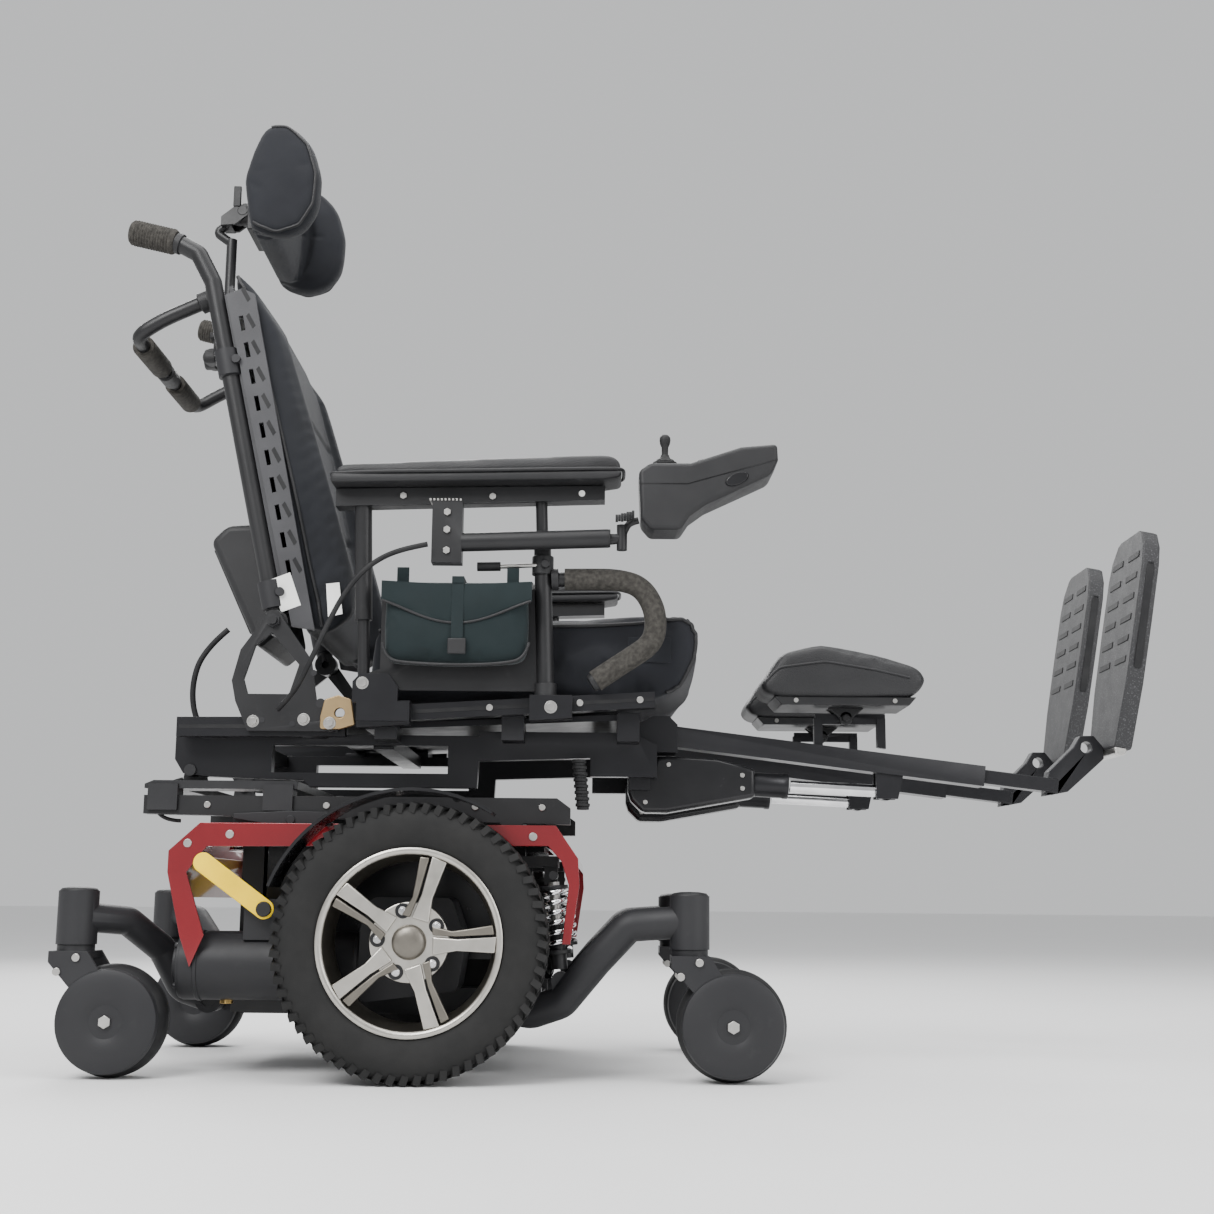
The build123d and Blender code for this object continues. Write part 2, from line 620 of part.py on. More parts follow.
def make_arm_top(side):
    """Upper armrest: sleeve, inner post and the channel under the pad."""
    drop = ARM_DROP["right"] if side < 0 else ARM_DROP["left"]
    y = side * ARM_Y
    with BuildPart() as top:
        rod(post_point(REAR_POST_X, y, 596 - drop), post_point(REAR_POST_X, y, 752 - drop), POST_RADIUS)
        rod(post_point(FRONT_POST_X, y, INNER_POST_FOOT - drop), post_point(FRONT_POST_X, y, 764 - drop),
            INNER_RADIUS)
        plate([(-391, 749 - drop), (-29, 761 - drop), (-29, 780 - drop), (-391, 773 - drop)], y, 30)
        rod(post_point(REAR_POST_X, y, 570 - drop), post_point(REAR_POST_X, y, 741 - drop),
            INNER_RADIUS + RUN, mode=Mode.SUBTRACT)
    return top.part


def make_arm_pad(side):
    """Upholstered armrest pad, as a simple closed solid."""
    drop = ARM_DROP["right"] if side < 0 else ARM_DROP["left"]
    with BuildPart() as pad:
        plate([(-397, 774 - drop), (-29, 781 - drop), (-3, 782 - drop), (-3, 815 - drop), (-20, 822 - drop),
               (-385, 805 - drop), (-397, 796 - drop)],
              side * 270, PAD_WIDTH)
    return pad.part


with BuildPart() as transfer_handle:
    tube([(-98, -ARM_Y, 653), (-70, -ARM_Y, 654), (-5, -ARM_Y, 654), (38, -ARM_Y, 612), (38, -ARM_Y, 572),
          (-40, -ARM_Y, 517)], 15, 20)

with BuildPart() as side_bag:
    plate([(-322, 646), (-124, 646), (-123, 540), (-140, 530), (-310, 528), (-324, 540)], -286, 40)

# ---- joystick ----
JOY_PIVOT_X = -6
STICK_X = 51
STICK_PIVOT_Z = 795

with BuildPart() as joystick_arm:
    block((-252, -224), (-286, -250), (732, 753))
    block((-258, -218), (-302, -278), (668, 752))
    rod((-219, -JOY_Y - 3, 697), (-24, -JOY_Y - 3, 704), 12.5)
    rod((-25, -JOY_Y - 3, 704), (JOY_PIVOT_X, -JOY_Y - 3, 704.5), 6)
    post(JOY_PIVOT_X, -JOY_Y - 3, (688, 722), 7)

with BuildPart() as joystick_box:
    plate(
        [(15, 790), (18, 722), (31, 709), (71, 709), (84, 729), (104, 744), (191, 785), (201, 806),
            (200, 829),
         (151, 824), (84, 801), (31, 801)],
        -JOY_Y, 68)
    post(JOY_PIVOT_X, -JOY_Y - 3, (723, 742), 9)
    block((JOY_PIVOT_X, 20), (-JOY_Y - 11, -JOY_Y + 5), (725, 741))
    post(STICK_X, -JOY_Y, (786, 802), 15, mode=Mode.SUBTRACT)

with BuildPart() as joystick_gimbal:
    post(STICK_X, -JOY_Y, (STICK_PIVOT_Z - 3, STICK_PIVOT_Z + 3), 12)
    post(STICK_X, -JOY_Y, (STICK_PIVOT_Z - 3, STICK_PIVOT_Z + 3), 8.5, mode=Mode.SUBTRACT)
    for turn in (-1, 1):
        rod((STICK_X + turn * 11, -JOY_Y, STICK_PIVOT_Z), (STICK_X + turn * 14, -JOY_Y, STICK_PIVOT_Z), 1.5)

with BuildPart() as joystick_stick:
    post(STICK_X, -JOY_Y, (STICK_PIVOT_Z - 4, 834), 4)
    post(STICK_X, -JOY_Y, (830, 848), 8)
    disc((STICK_X, STICK_PIVOT_Z), 1.5, -JOY_Y, 15)

# ---- leg rests ----
BEAM_TIP = (500, 404)
LIFT_ROD_RADIUS = 8.5
LIFT_BORE = 15                  # wide, because the leg's arc is not quite the tube's line
LIFT_TUBE_RADIUS = 18
CALF_PIN_RADIUS = 4
CALF_LUG_Y = 10                 # middle of each lug of the calf pad, from the leg's middle
FOOT_LEAN = 10
FOOT_THICKNESS = 24


def lift_spot(distance, y):
    """A point on the leg lift's line, distance from its rear pivot."""
    x, z = along(ACTUATOR_PIVOT, ROD_EYE, distance)
    return (x, y, z)


def make_leg_beam(side):
    """Elevating leg beam with its knee boss, calf bracket posts and actuator rod."""
    y = side * LEG_Y
    with BuildPart() as beam:
        bar(KNEE, BEAM_TIP, LEG_DEPTH + 2, y, LEG_WIDTH)
        disc(KNEE, 17, y, LEG_WIDTH + 16)
        bar(along(KNEE, BEAM_TIP, 40), along(KNEE, BEAM_TIP, 500), LEG_DEPTH - 2 * LEG_WALL + 2, y,
            LEG_WIDTH - 2 * LEG_WALL, mode=Mode.SUBTRACT)
        disc(KNEE, 9 + RUN, y, LEG_WIDTH + 20, mode=Mode.SUBTRACT)
        for x in (272, 360):
            plate([(x - 6, 444), (x + 6, 442), (x + 6, 484), (x - 6, 484)], y, 12)
        plate([(268, 476), (366, 476), (366, 490), (268, 490)], y, 8)
        for offset in (-12, 12):
            plate([(350, 372), (380, 372), (388, 406), (350, 410)], y + offset, 6)
        disc(ROD_EYE, 6, y, 24)
        rod(lift_spot(218, y), lift_spot(330, y), LIFT_ROD_RADIUS)
        disc(ROD_EYE, 13, y, 16)
        disc(CALF_PIVOT, CALF_PIN_RADIUS, y, 2 * (CALF_LUG_Y + 5))
    return beam.part


def make_leg_actuator(side):
    """Leg lift actuator: motor housing and outer tube, on its rear pivot."""
    y = side * LEG_Y
    with BuildPart() as actuator:
        plate([(6, 378), (10, 366), (26, 350), (60, 350), (182, 372), (182, 411), (130, 424),
            (60, 428), (44, 426),
               (40, 411), (6, 411)], y, 46)
        rod(lift_spot(156, y), lift_spot(207, y), LIFT_TUBE_RADIUS)
        rod(lift_spot(68, y), lift_spot(214, y), LIFT_BORE, mode=Mode.SUBTRACT)
        disc(ACTUATOR_PIVOT, 6 + RUN, y, 60, mode=Mode.SUBTRACT)
    return actuator.part


def make_leg_slide(side):
    """Bar that slides in the beam, with the footplate's gooseneck."""
    y = side * LEG_Y
    with BuildPart() as slide:
        bar(along(KNEE, BEAM_TIP, 330), along(KNEE, BEAM_TIP, 556), LEG_DEPTH - 2 * LEG_WALL + 1, y,
            LEG_WIDTH - 2 * LEG_WALL - 1)
        plate([(584, 378), (616, 384), (668, 430), (668, 446), (655, 462), (636, 462), (626, 446),
            (590, 412)], y, 24)
        disc(ANKLE, 8 + RUN, y, 30, mode=Mode.SUBTRACT)
    return slide.part


def make_footplate(side):
    """Footplate with its hinge pin and knuckles."""
    y = side * LEG_Y
    with BuildPart() as foot:
        disc(ANKLE, 8, y, 110)
        for offset in (-40, 40):
            disc(ANKLE, 14, y + offset, 46)
        lean = radians(FOOT_LEAN)
        foot_plane = Plane(origin=(ANKLE[0] + 24, y, ANKLE[1] - 4), x_dir=(0, 1, 0), z_dir=(cos(lean),
            0, -sin(lean)))
        with BuildSketch(foot_plane):
            with BuildLine():
                Polyline((-62, 0), (62, 0), (76, 90), (78, 260), (52, 312), (-52, 312), (-78, 260),
                    (-76, 90), close=True)
            make_face()
        extrude(amount=FOOT_THICKNESS)
        for offset in (-40, 40):
            block((ANKLE[0] + 4, ANKLE[0] + 34), (y + offset - 23, y + offset + 23),
                (ANKLE[1] - 8, ANKLE[1] + 8))
    return foot.part


def make_calf_pad(side):
    """Calf pad on its bracket, as a simple closed solid."""
    y = side * LEG_Y
    with BuildPart() as pad:
        plate([(180, 520), (200, 503), (400, 506), (421, 534), (410, 554), (347, 572), (270, 587),
            (212, 572)], y, 128)
        for offset in (-CALF_LUG_Y, CALF_LUG_Y):
            plate([(300, 484), (320, 484), (336, 506), (284, 506)], y + offset, 6)
            disc(CALF_PIVOT, 10, y + offset, 6)
        disc(CALF_PIVOT, CALF_PIN_RADIUS + RUN, y, 40, mode=Mode.SUBTRACT)
    return pad.part


# ---- joystick cable ----
CABLE_RADIUS = 3.5
CABLE_ROUTE = [
    (-262, -312, 690), (-292, -312, 684), (-322, -312, 672), (-348, -312, 652), (-370, -312, 622),
    (-388, -312, 586), (-402, -312, 552), (-413, -311, 528), (-425, -300, 507), (-440, -281, 491),
    (-460, -258, 476),
]


def corner_radii(points):
    """Arc radii for a cord: 0.45 of the shorter run over the tangent of half the turn."""
    radii = []
    for before, here, after in zip(points, points[1:], points[2:]):
        run_in = Vector(*here) - Vector(*before)
        run_out = Vector(*after) - Vector(*here)
        turn = radians(run_in.get_angle(run_out))
        radii.append(0.45 * min(run_in.length, run_out.length) / tan(turn / 2))
    return radii


with BuildPart() as joystick_cable:
    tube(CABLE_ROUTE, CABLE_RADIUS, corner_radii(CABLE_ROUTE))


# ---- write every sub-part ----
finish(chassis_frame.part, "chassis_frame")
finish(battery_pack.part, "battery_pack")
finish(red_shroud.part, "red_shroud")
finish(base_cover.part, "base_cover")
finish(drive_motors.part, "drive_motors")
finish(shock_absorbers.part, "shock_absorbers")
for side_name, side in SIDES.items():
    finish(make_lever(side), f"freewheel_lever_{side_name}")
    finish(make_tyre(side), f"tyre_{side_name}")
    finish(make_rim(side), f"rim_{side_name}")
    finish(make_front_arm(side), f"front_arm_{side_name}")
    finish(make_rear_arm(side), f"rear_arm_{side_name}")
    for end, stem_x in (("front", FRONT_STEM_X), ("rear", REAR_STEM_X)):
        finish(make_fork(stem_x, side), f"fork_{end}_{side_name}")
        finish(make_caster(stem_x, side), f"caster_{end}_{side_name}")
    finish(make_arm_frame(side), f"arm_frame_{side_name}")
    finish(make_arm_top(side), f"arm_top_{side_name}")
    finish(make_arm_pad(side), f"arm_pad_{side_name}")
    finish(make_leg_beam(side), f"leg_beam_{side_name}")
    finish(make_leg_actuator(side), f"leg_actuator_{side_name}")
    finish(make_leg_slide(side), f"leg_slide_{side_name}")
    finish(make_footplate(side), f"footplate_{side_name}")
    finish(make_calf_pad(side), f"calf_pad_{side_name}")
finish(tilt_carriage.part, "tilt_carriage")
finish(seat_frame.part, "seat_frame")
finish(seat_cushion.part, "seat_cushion")
finish(tie_down_hooks.part, "tie_down_hooks")
finish(recline_quadrants.part, "recline_quadrants")
finish(back_canes.part, "back_canes")
finish(push_grips.part, "push_grips")
finish(back_shell.part, "back_shell")
finish(back_cushion.part, "back_cushion")
finish(rear_box.part, "rear_box")
finish(stroller_bar.part, "stroller_bar")
finish(headrest_stem.part, "headrest_stem")
finish(headrest_pad.part, "headrest_pad")
finish(transfer_handle.part, "transfer_handle")
finish(side_bag.part, "side_bag")
finish(joystick_arm.part, "joystick_arm")
finish(joystick_box.part, "joystick_box")
finish(joystick_gimbal.part, "joystick_gimbal")
finish(joystick_stick.part, "joystick_stick")
finish(joystick_cable.part, "joystick_cable")
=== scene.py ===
import json
import random
from math import atan2, cos, hypot, pi, radians, sin

import bmesh
import bpy
from mathutils import Matrix, Vector
from mathutils.bvhtree import BVHTree


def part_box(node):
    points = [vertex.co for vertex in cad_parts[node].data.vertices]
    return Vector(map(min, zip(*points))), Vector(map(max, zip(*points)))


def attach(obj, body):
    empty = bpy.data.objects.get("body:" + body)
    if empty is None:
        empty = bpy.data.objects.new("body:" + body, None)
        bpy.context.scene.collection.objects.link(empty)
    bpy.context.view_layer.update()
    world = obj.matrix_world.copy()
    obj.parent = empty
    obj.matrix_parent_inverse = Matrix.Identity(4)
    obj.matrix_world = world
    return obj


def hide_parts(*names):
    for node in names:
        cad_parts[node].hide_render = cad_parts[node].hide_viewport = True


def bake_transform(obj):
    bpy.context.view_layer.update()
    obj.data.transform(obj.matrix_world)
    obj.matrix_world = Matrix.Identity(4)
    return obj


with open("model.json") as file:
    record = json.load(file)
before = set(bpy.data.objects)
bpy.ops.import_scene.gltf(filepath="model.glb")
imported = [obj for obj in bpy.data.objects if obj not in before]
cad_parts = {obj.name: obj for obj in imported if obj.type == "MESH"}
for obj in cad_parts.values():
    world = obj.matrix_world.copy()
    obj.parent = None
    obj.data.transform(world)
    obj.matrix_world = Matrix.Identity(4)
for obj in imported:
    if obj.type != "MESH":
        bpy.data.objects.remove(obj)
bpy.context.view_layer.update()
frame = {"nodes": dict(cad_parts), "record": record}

sides = {"right": -1, "left": 1}
random.seed(7)


# an expression on values adds its Math nodes
class Value:
    def __init__(self, recipe, socket):
        self.recipe = recipe
        self.socket = socket

    def maths(self, operation, first, second):
        return self.recipe.add("ShaderNodeMath", {"operation": operation}, {0: first, 1: second})

    def __add__(self, other):
        return self.maths("ADD", self, other)

    __radd__ = __add__

    def __sub__(self, other):
        return self.maths("SUBTRACT", self, other)

    def __rsub__(self, other):
        return self.maths("SUBTRACT", other, self)

    def __mul__(self, other):
        return self.maths("MULTIPLY", self, other)

    __rmul__ = __mul__

    def __gt__(self, other):
        return self.maths("GREATER_THAN", self, other)


class Recipe:
    def __init__(self, name, **constants):
        self.material = bpy.data.materials.new(name)
        self.material.use_nodes = True
        self.tree = self.material.node_tree
        self.shader = self.tree.nodes["Principled BSDF"]
        self.place = self.add("ShaderNodeTexCoord", output="Object")
        for socket, value in constants.items():
            self.shader.inputs[socket.replace("_", " ")].default_value = value

    def add(self, kind, settings=None, inputs=None, output=0):
        node = self.tree.nodes.new(kind)
        for key, value in (settings or {}).items():
            if key == "stops":
                ramp = node.color_ramp.elements
                for stop, (position, color) in zip(ramp, value):
                    stop.position = position
                    stop.color = color
            else:
                setattr(node, key, value)
        for key, value in (inputs or {}).items():
            if isinstance(value, Value):
                self.tree.links.new(value.socket, node.inputs[key])
            else:
                node.inputs[key].default_value = value
        return Value(self, node.outputs[output])

    def noise(self, scale, detail=3, roughness=0.5):
        return self.add("ShaderNodeTexNoise", None,
                        {"Vector": self.place, "Scale": scale, "Detail": detail, "Roughness": roughness})

    def cells(self, scale, feature="F1"):
        return self.add("ShaderNodeTexVoronoi", {"feature": feature},
                        {"Vector": self.place, "Scale": scale})

    def waves(self, direction, scale, distortion=0.0):
        return self.add("ShaderNodeTexWave", {"bands_direction": direction, "wave_profile": "SIN"},
                        {"Vector": self.place, "Scale": scale, "Distortion": distortion, "Detail": 1},
                        output="Fac")

    def mix(self, factor, first, second):
        return self.add("ShaderNodeMix", {"data_type": "RGBA"},
                        {0: factor, 6: (*first, 1) if len(first) == 3 else first,
                         7: (*second, 1) if len(second) == 3 else second}, output=2)

    def edgeOn(self, axis):
        # 1 where the face runs along the axis, 0 where it faces along it
        normal = self.add("ShaderNodeNewGeometry", output="Normal")
        parts = self.add("ShaderNodeSeparateXYZ", None, {"Vector": normal}, output=axis)
        return 1.0 - self.maths("ABSOLUTE", parts)

    def maths(self, operation, value):
        return self.add("ShaderNodeMath", {"operation": operation}, {0: value})

    def ramp(self, value, low, high):
        return self.add("ShaderNodeMapRange", {"clamp": True}, {0: value, 1: low, 2: high, 3: 0.0, 4: 1.0})

    def use(self, **links):
        for socket, value in links.items():
            self.tree.links.new(value.socket, self.shader.inputs[socket.replace("_", " ")])
        return self.material

    def bump(self, height, strength, distance):
        normal = self.add("ShaderNodeBump", None,
                          {"Height": height, "Strength": strength, "Distance": distance})
        return self.use(Normal=normal)


def coated(name, color, rough=0.42, worn=(0.035, 0.035, 0.036), grain=900, metal=0.0):
    recipe = Recipe(name, Metallic=metal, Specular_IOR_Level=0.32)
    cloud = recipe.ramp(recipe.noise(9, 4), 0.35, 0.75)
    scuff = recipe.ramp(recipe.noise(60, 6, 0.65), 0.60, 0.82)
    recipe.use(Base_Color=recipe.mix(scuff * 0.35 + cloud * 0.25, color, worn),
               Roughness=recipe.noise(35, 3) * 0.18 + (rough - 0.09))
    return recipe.bump(recipe.noise(grain, 2), 0.12, 0.0006)


def moulded(name, color, rough=0.5, texture=1400, depth=0.0004, strength=0.35):
    recipe = Recipe(name, Specular_IOR_Level=0.3)
    cloud = recipe.ramp(recipe.noise(14, 4), 0.3, 0.8)
    lighter = tuple(channel * 1.7 + 0.006 for channel in color)
    recipe.use(Base_Color=recipe.mix(cloud * 0.6, color, lighter),
               Roughness=recipe.noise(45, 4) * 0.2 + (rough - 0.1))
    return recipe.bump(recipe.cells(texture), strength, depth)


def metal(name, color, rough, streak=0.0):
    recipe = Recipe(name, Metallic=1.0)
    dull = tuple(channel * 0.72 for channel in color)
    stain = recipe.ramp(recipe.noise(40, 5), 0.4, 0.75)
    recipe.use(Base_Color=recipe.mix(stain * 0.7, color, dull),
               Roughness=recipe.noise(120, 3) * 0.2 + (rough - 0.1))
    return recipe.bump(recipe.noise(700, 2), 0.06 + streak, 0.0004)


def lacquer(name, color, deep):
    recipe = Recipe(name, Metallic=0.55, Coat_Weight=1.0, Coat_Roughness=0.06, Specular_IOR_Level=0.6)
    flakes = recipe.ramp(recipe.cells(2600), 0.1, 0.6)
    sweep = recipe.ramp(recipe.noise(5, 2), 0.35, 0.7)
    recipe.use(Base_Color=recipe.mix(flakes * 0.45 + sweep * 0.3, color, deep),
               Roughness=recipe.noise(60, 3) * 0.12 + 0.24)
    return recipe.bump(recipe.noise(160, 3), 0.03, 0.0008)


def rubber(name, color, rough=0.75, dust=(0.020, 0.0195, 0.019)):
    recipe = Recipe(name, Specular_IOR_Level=0.25)
    dusty = recipe.ramp(recipe.noise(22, 5, 0.6), 0.42, 0.8)
    recipe.use(Base_Color=recipe.mix(dusty * 0.8, color, dust),
               Roughness=recipe.noise(70, 4) * 0.2 + (rough - 0.1))
    return recipe.bump(recipe.noise(650, 4), 0.25, 0.0006)


def foam(name, color):
    recipe = Recipe(name, Specular_IOR_Level=0.25)
    mottle = recipe.ramp(recipe.noise(180, 4), 0.35, 0.7)
    lighter = tuple(channel * 2.1 for channel in color)
    recipe.use(Base_Color=recipe.mix(mottle, color, lighter), Roughness=recipe.noise(90, 2) * 0.1 + 0.82)
    return recipe.bump(recipe.cells(900), 0.6, 0.0008)


def woven(name, color, thread, scale=420, sheen=0.12, depth=0.0006):
    recipe = Recipe(name, Specular_IOR_Level=0.22, Sheen_Weight=sheen, Sheen_Roughness=0.4)
    # threads run across a face, so the wave along its own normal is left out
    cloth = (recipe.waves("X", scale) * recipe.edgeOn(0) + recipe.waves("Y", scale) * recipe.edgeOn(1)
             + recipe.waves("Z", scale) * recipe.edgeOn(2)) * 0.5
    blotch = recipe.ramp(recipe.noise(8, 5, 0.6), 0.3, 0.75)
    recipe.use(Base_Color=recipe.mix(cloth * 0.55 + blotch * 0.45, color, thread),
               Roughness=recipe.noise(25, 4) * 0.2 + 0.66)
    return recipe.bump(cloth + recipe.noise(60, 4) * 0.5, 0.4, depth)


def hide(name, color, rough=0.46):
    recipe = Recipe(name, Specular_IOR_Level=0.36)
    patch = recipe.ramp(recipe.noise(10, 4), 0.3, 0.8)
    lighter = tuple(channel * 1.8 + 0.004 for channel in color)
    recipe.use(Base_Color=recipe.mix(patch * 0.6, color, lighter),
               Roughness=recipe.noise(30, 4) * 0.22 + (rough - 0.1))
    return recipe.bump(recipe.cells(520) + recipe.noise(90, 3) * 0.4, 0.4, 0.0007)


def speckled(name, color, fleck):
    recipe = Recipe(name, Specular_IOR_Level=0.4)
    spots = recipe.ramp(recipe.noise(520, 3, 0.7), 0.56, 0.66)
    recipe.use(Base_Color=recipe.mix(spots, color, fleck), Roughness=recipe.noise(40, 4) * 0.2 + 0.5)
    return recipe.bump(recipe.noise(300, 4), 0.3, 0.0006)


finishes = {
    "black": coated("satinBlackCoat", (0.012, 0.012, 0.013), 0.40),
    "softBlack": coated("hammeredBlackCoat", (0.016, 0.016, 0.018), 0.52, grain=420),
    "anodised": coated("blackAnodised", (0.016, 0.016, 0.018), 0.33, (0.030, 0.030, 0.032), metal=0.4),
    "greyRail": coated("greyAnodised", (0.035, 0.035, 0.037), 0.36, (0.07, 0.07, 0.07), metal=0.5),
    "shellGrey": moulded("slottedPlateGrey", (0.038, 0.038, 0.041), 0.48, 900),
    "plastic": moulded("grainedBlackPlastic", (0.014, 0.014, 0.015), 0.48),
    "gloss": moulded("glossBlackPlastic", (0.010, 0.010, 0.011), 0.24, 700, 0.0002, 0.08),
    "paleGrey": moulded("paleGreyPlastic", (0.20, 0.20, 0.205), 0.45),
    "yellow": moulded("signalYellowPlastic", (0.93, 0.62, 0.0), 0.42),
    "white": moulded("whiteLabel", (0.78, 0.78, 0.76), 0.5, 600, 0.0002, 0.1),
    "red": lacquer("redMetallicLacquer", (0.30, 0.001, 0.008), (0.12, 0.0, 0.004)),
    "chrome": metal("brightChrome", (0.80, 0.80, 0.81), 0.14),
    "steel": metal("zincSteel", (0.52, 0.51, 0.49), 0.34),
    "brass": metal("brassPlug", (0.62, 0.42, 0.15), 0.35),
    "bronze": metal("bronzeCoat", (0.42, 0.30, 0.16), 0.42),
    "pewter": metal("pewterRim", (0.50, 0.48, 0.44), 0.34),
    # painted shade: shadedRim is a darker, shaded copy of the rim pewter, used on the rim barrel, the spoke
    # insets and the hub cap
    "pewterPaintedShade": metal("shadedRim", (0.20, 0.185, 0.16), 0.42),
    "tyre": rubber("tyreRubber", (0.013, 0.013, 0.013)),
    "rubber": rubber("softRubber", (0.010, 0.010, 0.011), 0.6, (0.03, 0.03, 0.03)),
    "foam": foam("gripFoam", (0.030, 0.028, 0.025)),
    "seatCloth": woven("seatNylon", (0.007, 0.0075, 0.0095), (0.020, 0.0215, 0.027)),
    "meshCloth": woven("spacerMesh", (0.006, 0.0065, 0.008), (0.022, 0.024, 0.030), 300, 0.16, 0.0009),
    "bagCloth": woven("bagPolyester", (0.004, 0.0075, 0.0085), (0.016, 0.027, 0.029), 330),
    "vinyl": hide("blackVinyl", (0.010, 0.010, 0.011)),
    "foot": speckled("speckledComposite", (0.020, 0.020, 0.0215), (0.085, 0.085, 0.09)),
}


# mesh helpers
def piece(name, mesh, finish, body, replaced=(), smooth=35, bevel=0.0, segments=2, subdivide=0):
    data = bpy.data.meshes.new(name)
    mesh.to_mesh(data)
    mesh.free()
    made = bpy.data.objects.new(name, data)
    bpy.context.collection.objects.link(made)
    dress(made, finish, smooth)
    if bevel:
        soften = made.modifiers.new("edges", "BEVEL")
        soften.width = bevel
        soften.segments = segments
        soften.limit_method = "ANGLE"
        soften.angle_limit = radians(32)
        soften.harden_normals = False
    if subdivide:
        refine = made.modifiers.new("surface", "SUBSURF")
        refine.levels = subdivide
        refine.render_levels = subdivide
    if body:
        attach(made, body)
    if replaced:
        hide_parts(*replaced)
    return made


def dress(made, finish, smooth=35):
    data = made.data
    data.materials.clear()
    data.materials.append(finishes[finish])
    data.polygons.foreach_set("use_smooth", [True] * len(data.polygons))
    data.set_sharp_from_angle(angle=radians(smooth))


def bodyOf(node):
    for body, nodes in frame["record"]["behaviour"]["bodies"].items():
        if node in nodes:
            return body
    return "root"


def merged(node):
    mesh = bmesh.new()
    mesh.from_mesh(frame["nodes"][node].data)
    bmesh.ops.remove_doubles(mesh, verts=mesh.verts, dist=0.00002)
    bmesh.ops.dissolve_limit(mesh, angle_limit=radians(1.5), verts=mesh.verts, edges=mesh.edges)
    return mesh


def softened(node, finish, width=0.0012, segments=2):
    return piece(node + "_finish", merged(node), finish, bodyOf(node), [node], bevel=width,
                 segments=segments)


def turned(mesh, profile, centre, axis="Y", steps=64):
    # spins a list of (radius, offset) round an axis through centre
    centre = Vector(centre)
    points = []
    for radius, offset in profile:
        place = Vector((radius, offset, 0)) if axis == "Y" else Vector((radius, 0, offset))
        if axis == "X":
            place = Vector((offset, radius, 0))
        points.append(mesh.verts.new(centre + place))
    edges = [mesh.edges.new((first, second)) for first, second in zip(points, points[1:])]
    direction = {"X": (1, 0, 0), "Y": (0, 1, 0), "Z": (0, 0, 1)}[axis]
    bmesh.ops.spin(mesh, geom=points + edges, cent=centre, axis=direction, angle=2 * pi, steps=steps,
                   use_merge=True)
    bmesh.ops.remove_doubles(mesh, verts=mesh.verts, dist=0.00001)


def spun(name, profile, centre, finish, body, replaced=(), axis="Y", steps=64, smooth=35):
    mesh = bmesh.new()
    turned(mesh, profile, centre, axis, steps)
    settle(mesh)
    return piece(name, mesh, finish, body, replaced, smooth)


def settle(mesh):
    bmesh.ops.remove_doubles(mesh, verts=mesh.verts, dist=0.00001)
    bmesh.ops.recalc_face_normals(mesh, faces=mesh.faces)


def join(mesh, part):
    data = bpy.data.meshes.new("part")
    part.to_mesh(data)
    part.free()
    mesh.from_mesh(data)
    bpy.data.meshes.remove(data)


def thicken(mesh, face, push):
    grown = bmesh.ops.extrude_face_region(mesh, geom=[face])["geom"]
    bmesh.ops.translate(mesh, vec=push, verts=[v for v in grown if isinstance(v, bmesh.types.BMVert)])


def between(side, inner, outer):
    # the low and high y of a span that is mirrored to the other side
    return min(side * inner, side * outer), max(side * inner, side * outer)


def box(mesh, low, high):
    low = Vector(low)
    high = Vector(high)
    place = Matrix.Translation((low + high) / 2) @ Matrix.Diagonal((*(high - low), 1))
    return bmesh.ops.create_cube(mesh, size=1, matrix=place)["verts"]


def prism(mesh, outline, low, high):
    # outline is a list of (x, z); the solid runs from y = low to y = high
    base = [mesh.verts.new((x, low, z)) for x, z in outline]
    thicken(mesh, mesh.faces.new(base), (0, high - low, 0))


def drum(mesh, centre, radius, depth, axis="Y", segments=40, cone=None):
    turn = {"X": Matrix.Rotation(pi / 2, 4, "Y"), "Y": Matrix.Rotation(pi / 2, 4, "X"),
            "Z": Matrix.Identity(4)}[axis]
    bmesh.ops.create_cone(mesh, cap_ends=True, segments=segments, radius1=radius,
                          radius2=radius if cone is None else cone, depth=depth,
                          matrix=Matrix.Translation(centre) @ turn)


def pipe(name, points, radius, finish, body, order=3, replaced=(), smoothRoute=True):
    data = bpy.data.curves.new(name, "CURVE")
    data.dimensions = "3D"
    data.bevel_depth = radius
    data.bevel_resolution = 6
    data.resolution_u = 10
    data.use_fill_caps = True
    line = data.splines.new("NURBS" if smoothRoute else "POLY")
    line.points.add(len(points) - 1)
    for spot, place in zip(line.points, points):
        spot.co = (*place, 1)
    if smoothRoute:
        line.order_u = order
        line.use_endpoint_u = True
    data.materials.append(finishes[finish])
    made = bpy.data.objects.new(name, data)
    bpy.context.collection.objects.link(made)
    if body:
        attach(made, body)
    if replaced:
        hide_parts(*replaced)
    return made


def piping(name, points, radius, finish, body, host, steps=6):
    # a welt that follows its host's surface
    mesh = host.data
    surface = BVHTree.FromPolygons([vertex.co for vertex in mesh.vertices],
                                   [face.vertices for face in mesh.polygons])
    route = []
    for first, second in zip(points, points[1:]):
        for step in range(steps):
            place = Vector(first).lerp(Vector(second), step / steps)
            spot, normal = surface.find_nearest(place)[:2]
            route.append(tuple(spot + normal * radius * 0.3))
    return pipe(name, route, radius, finish, body)


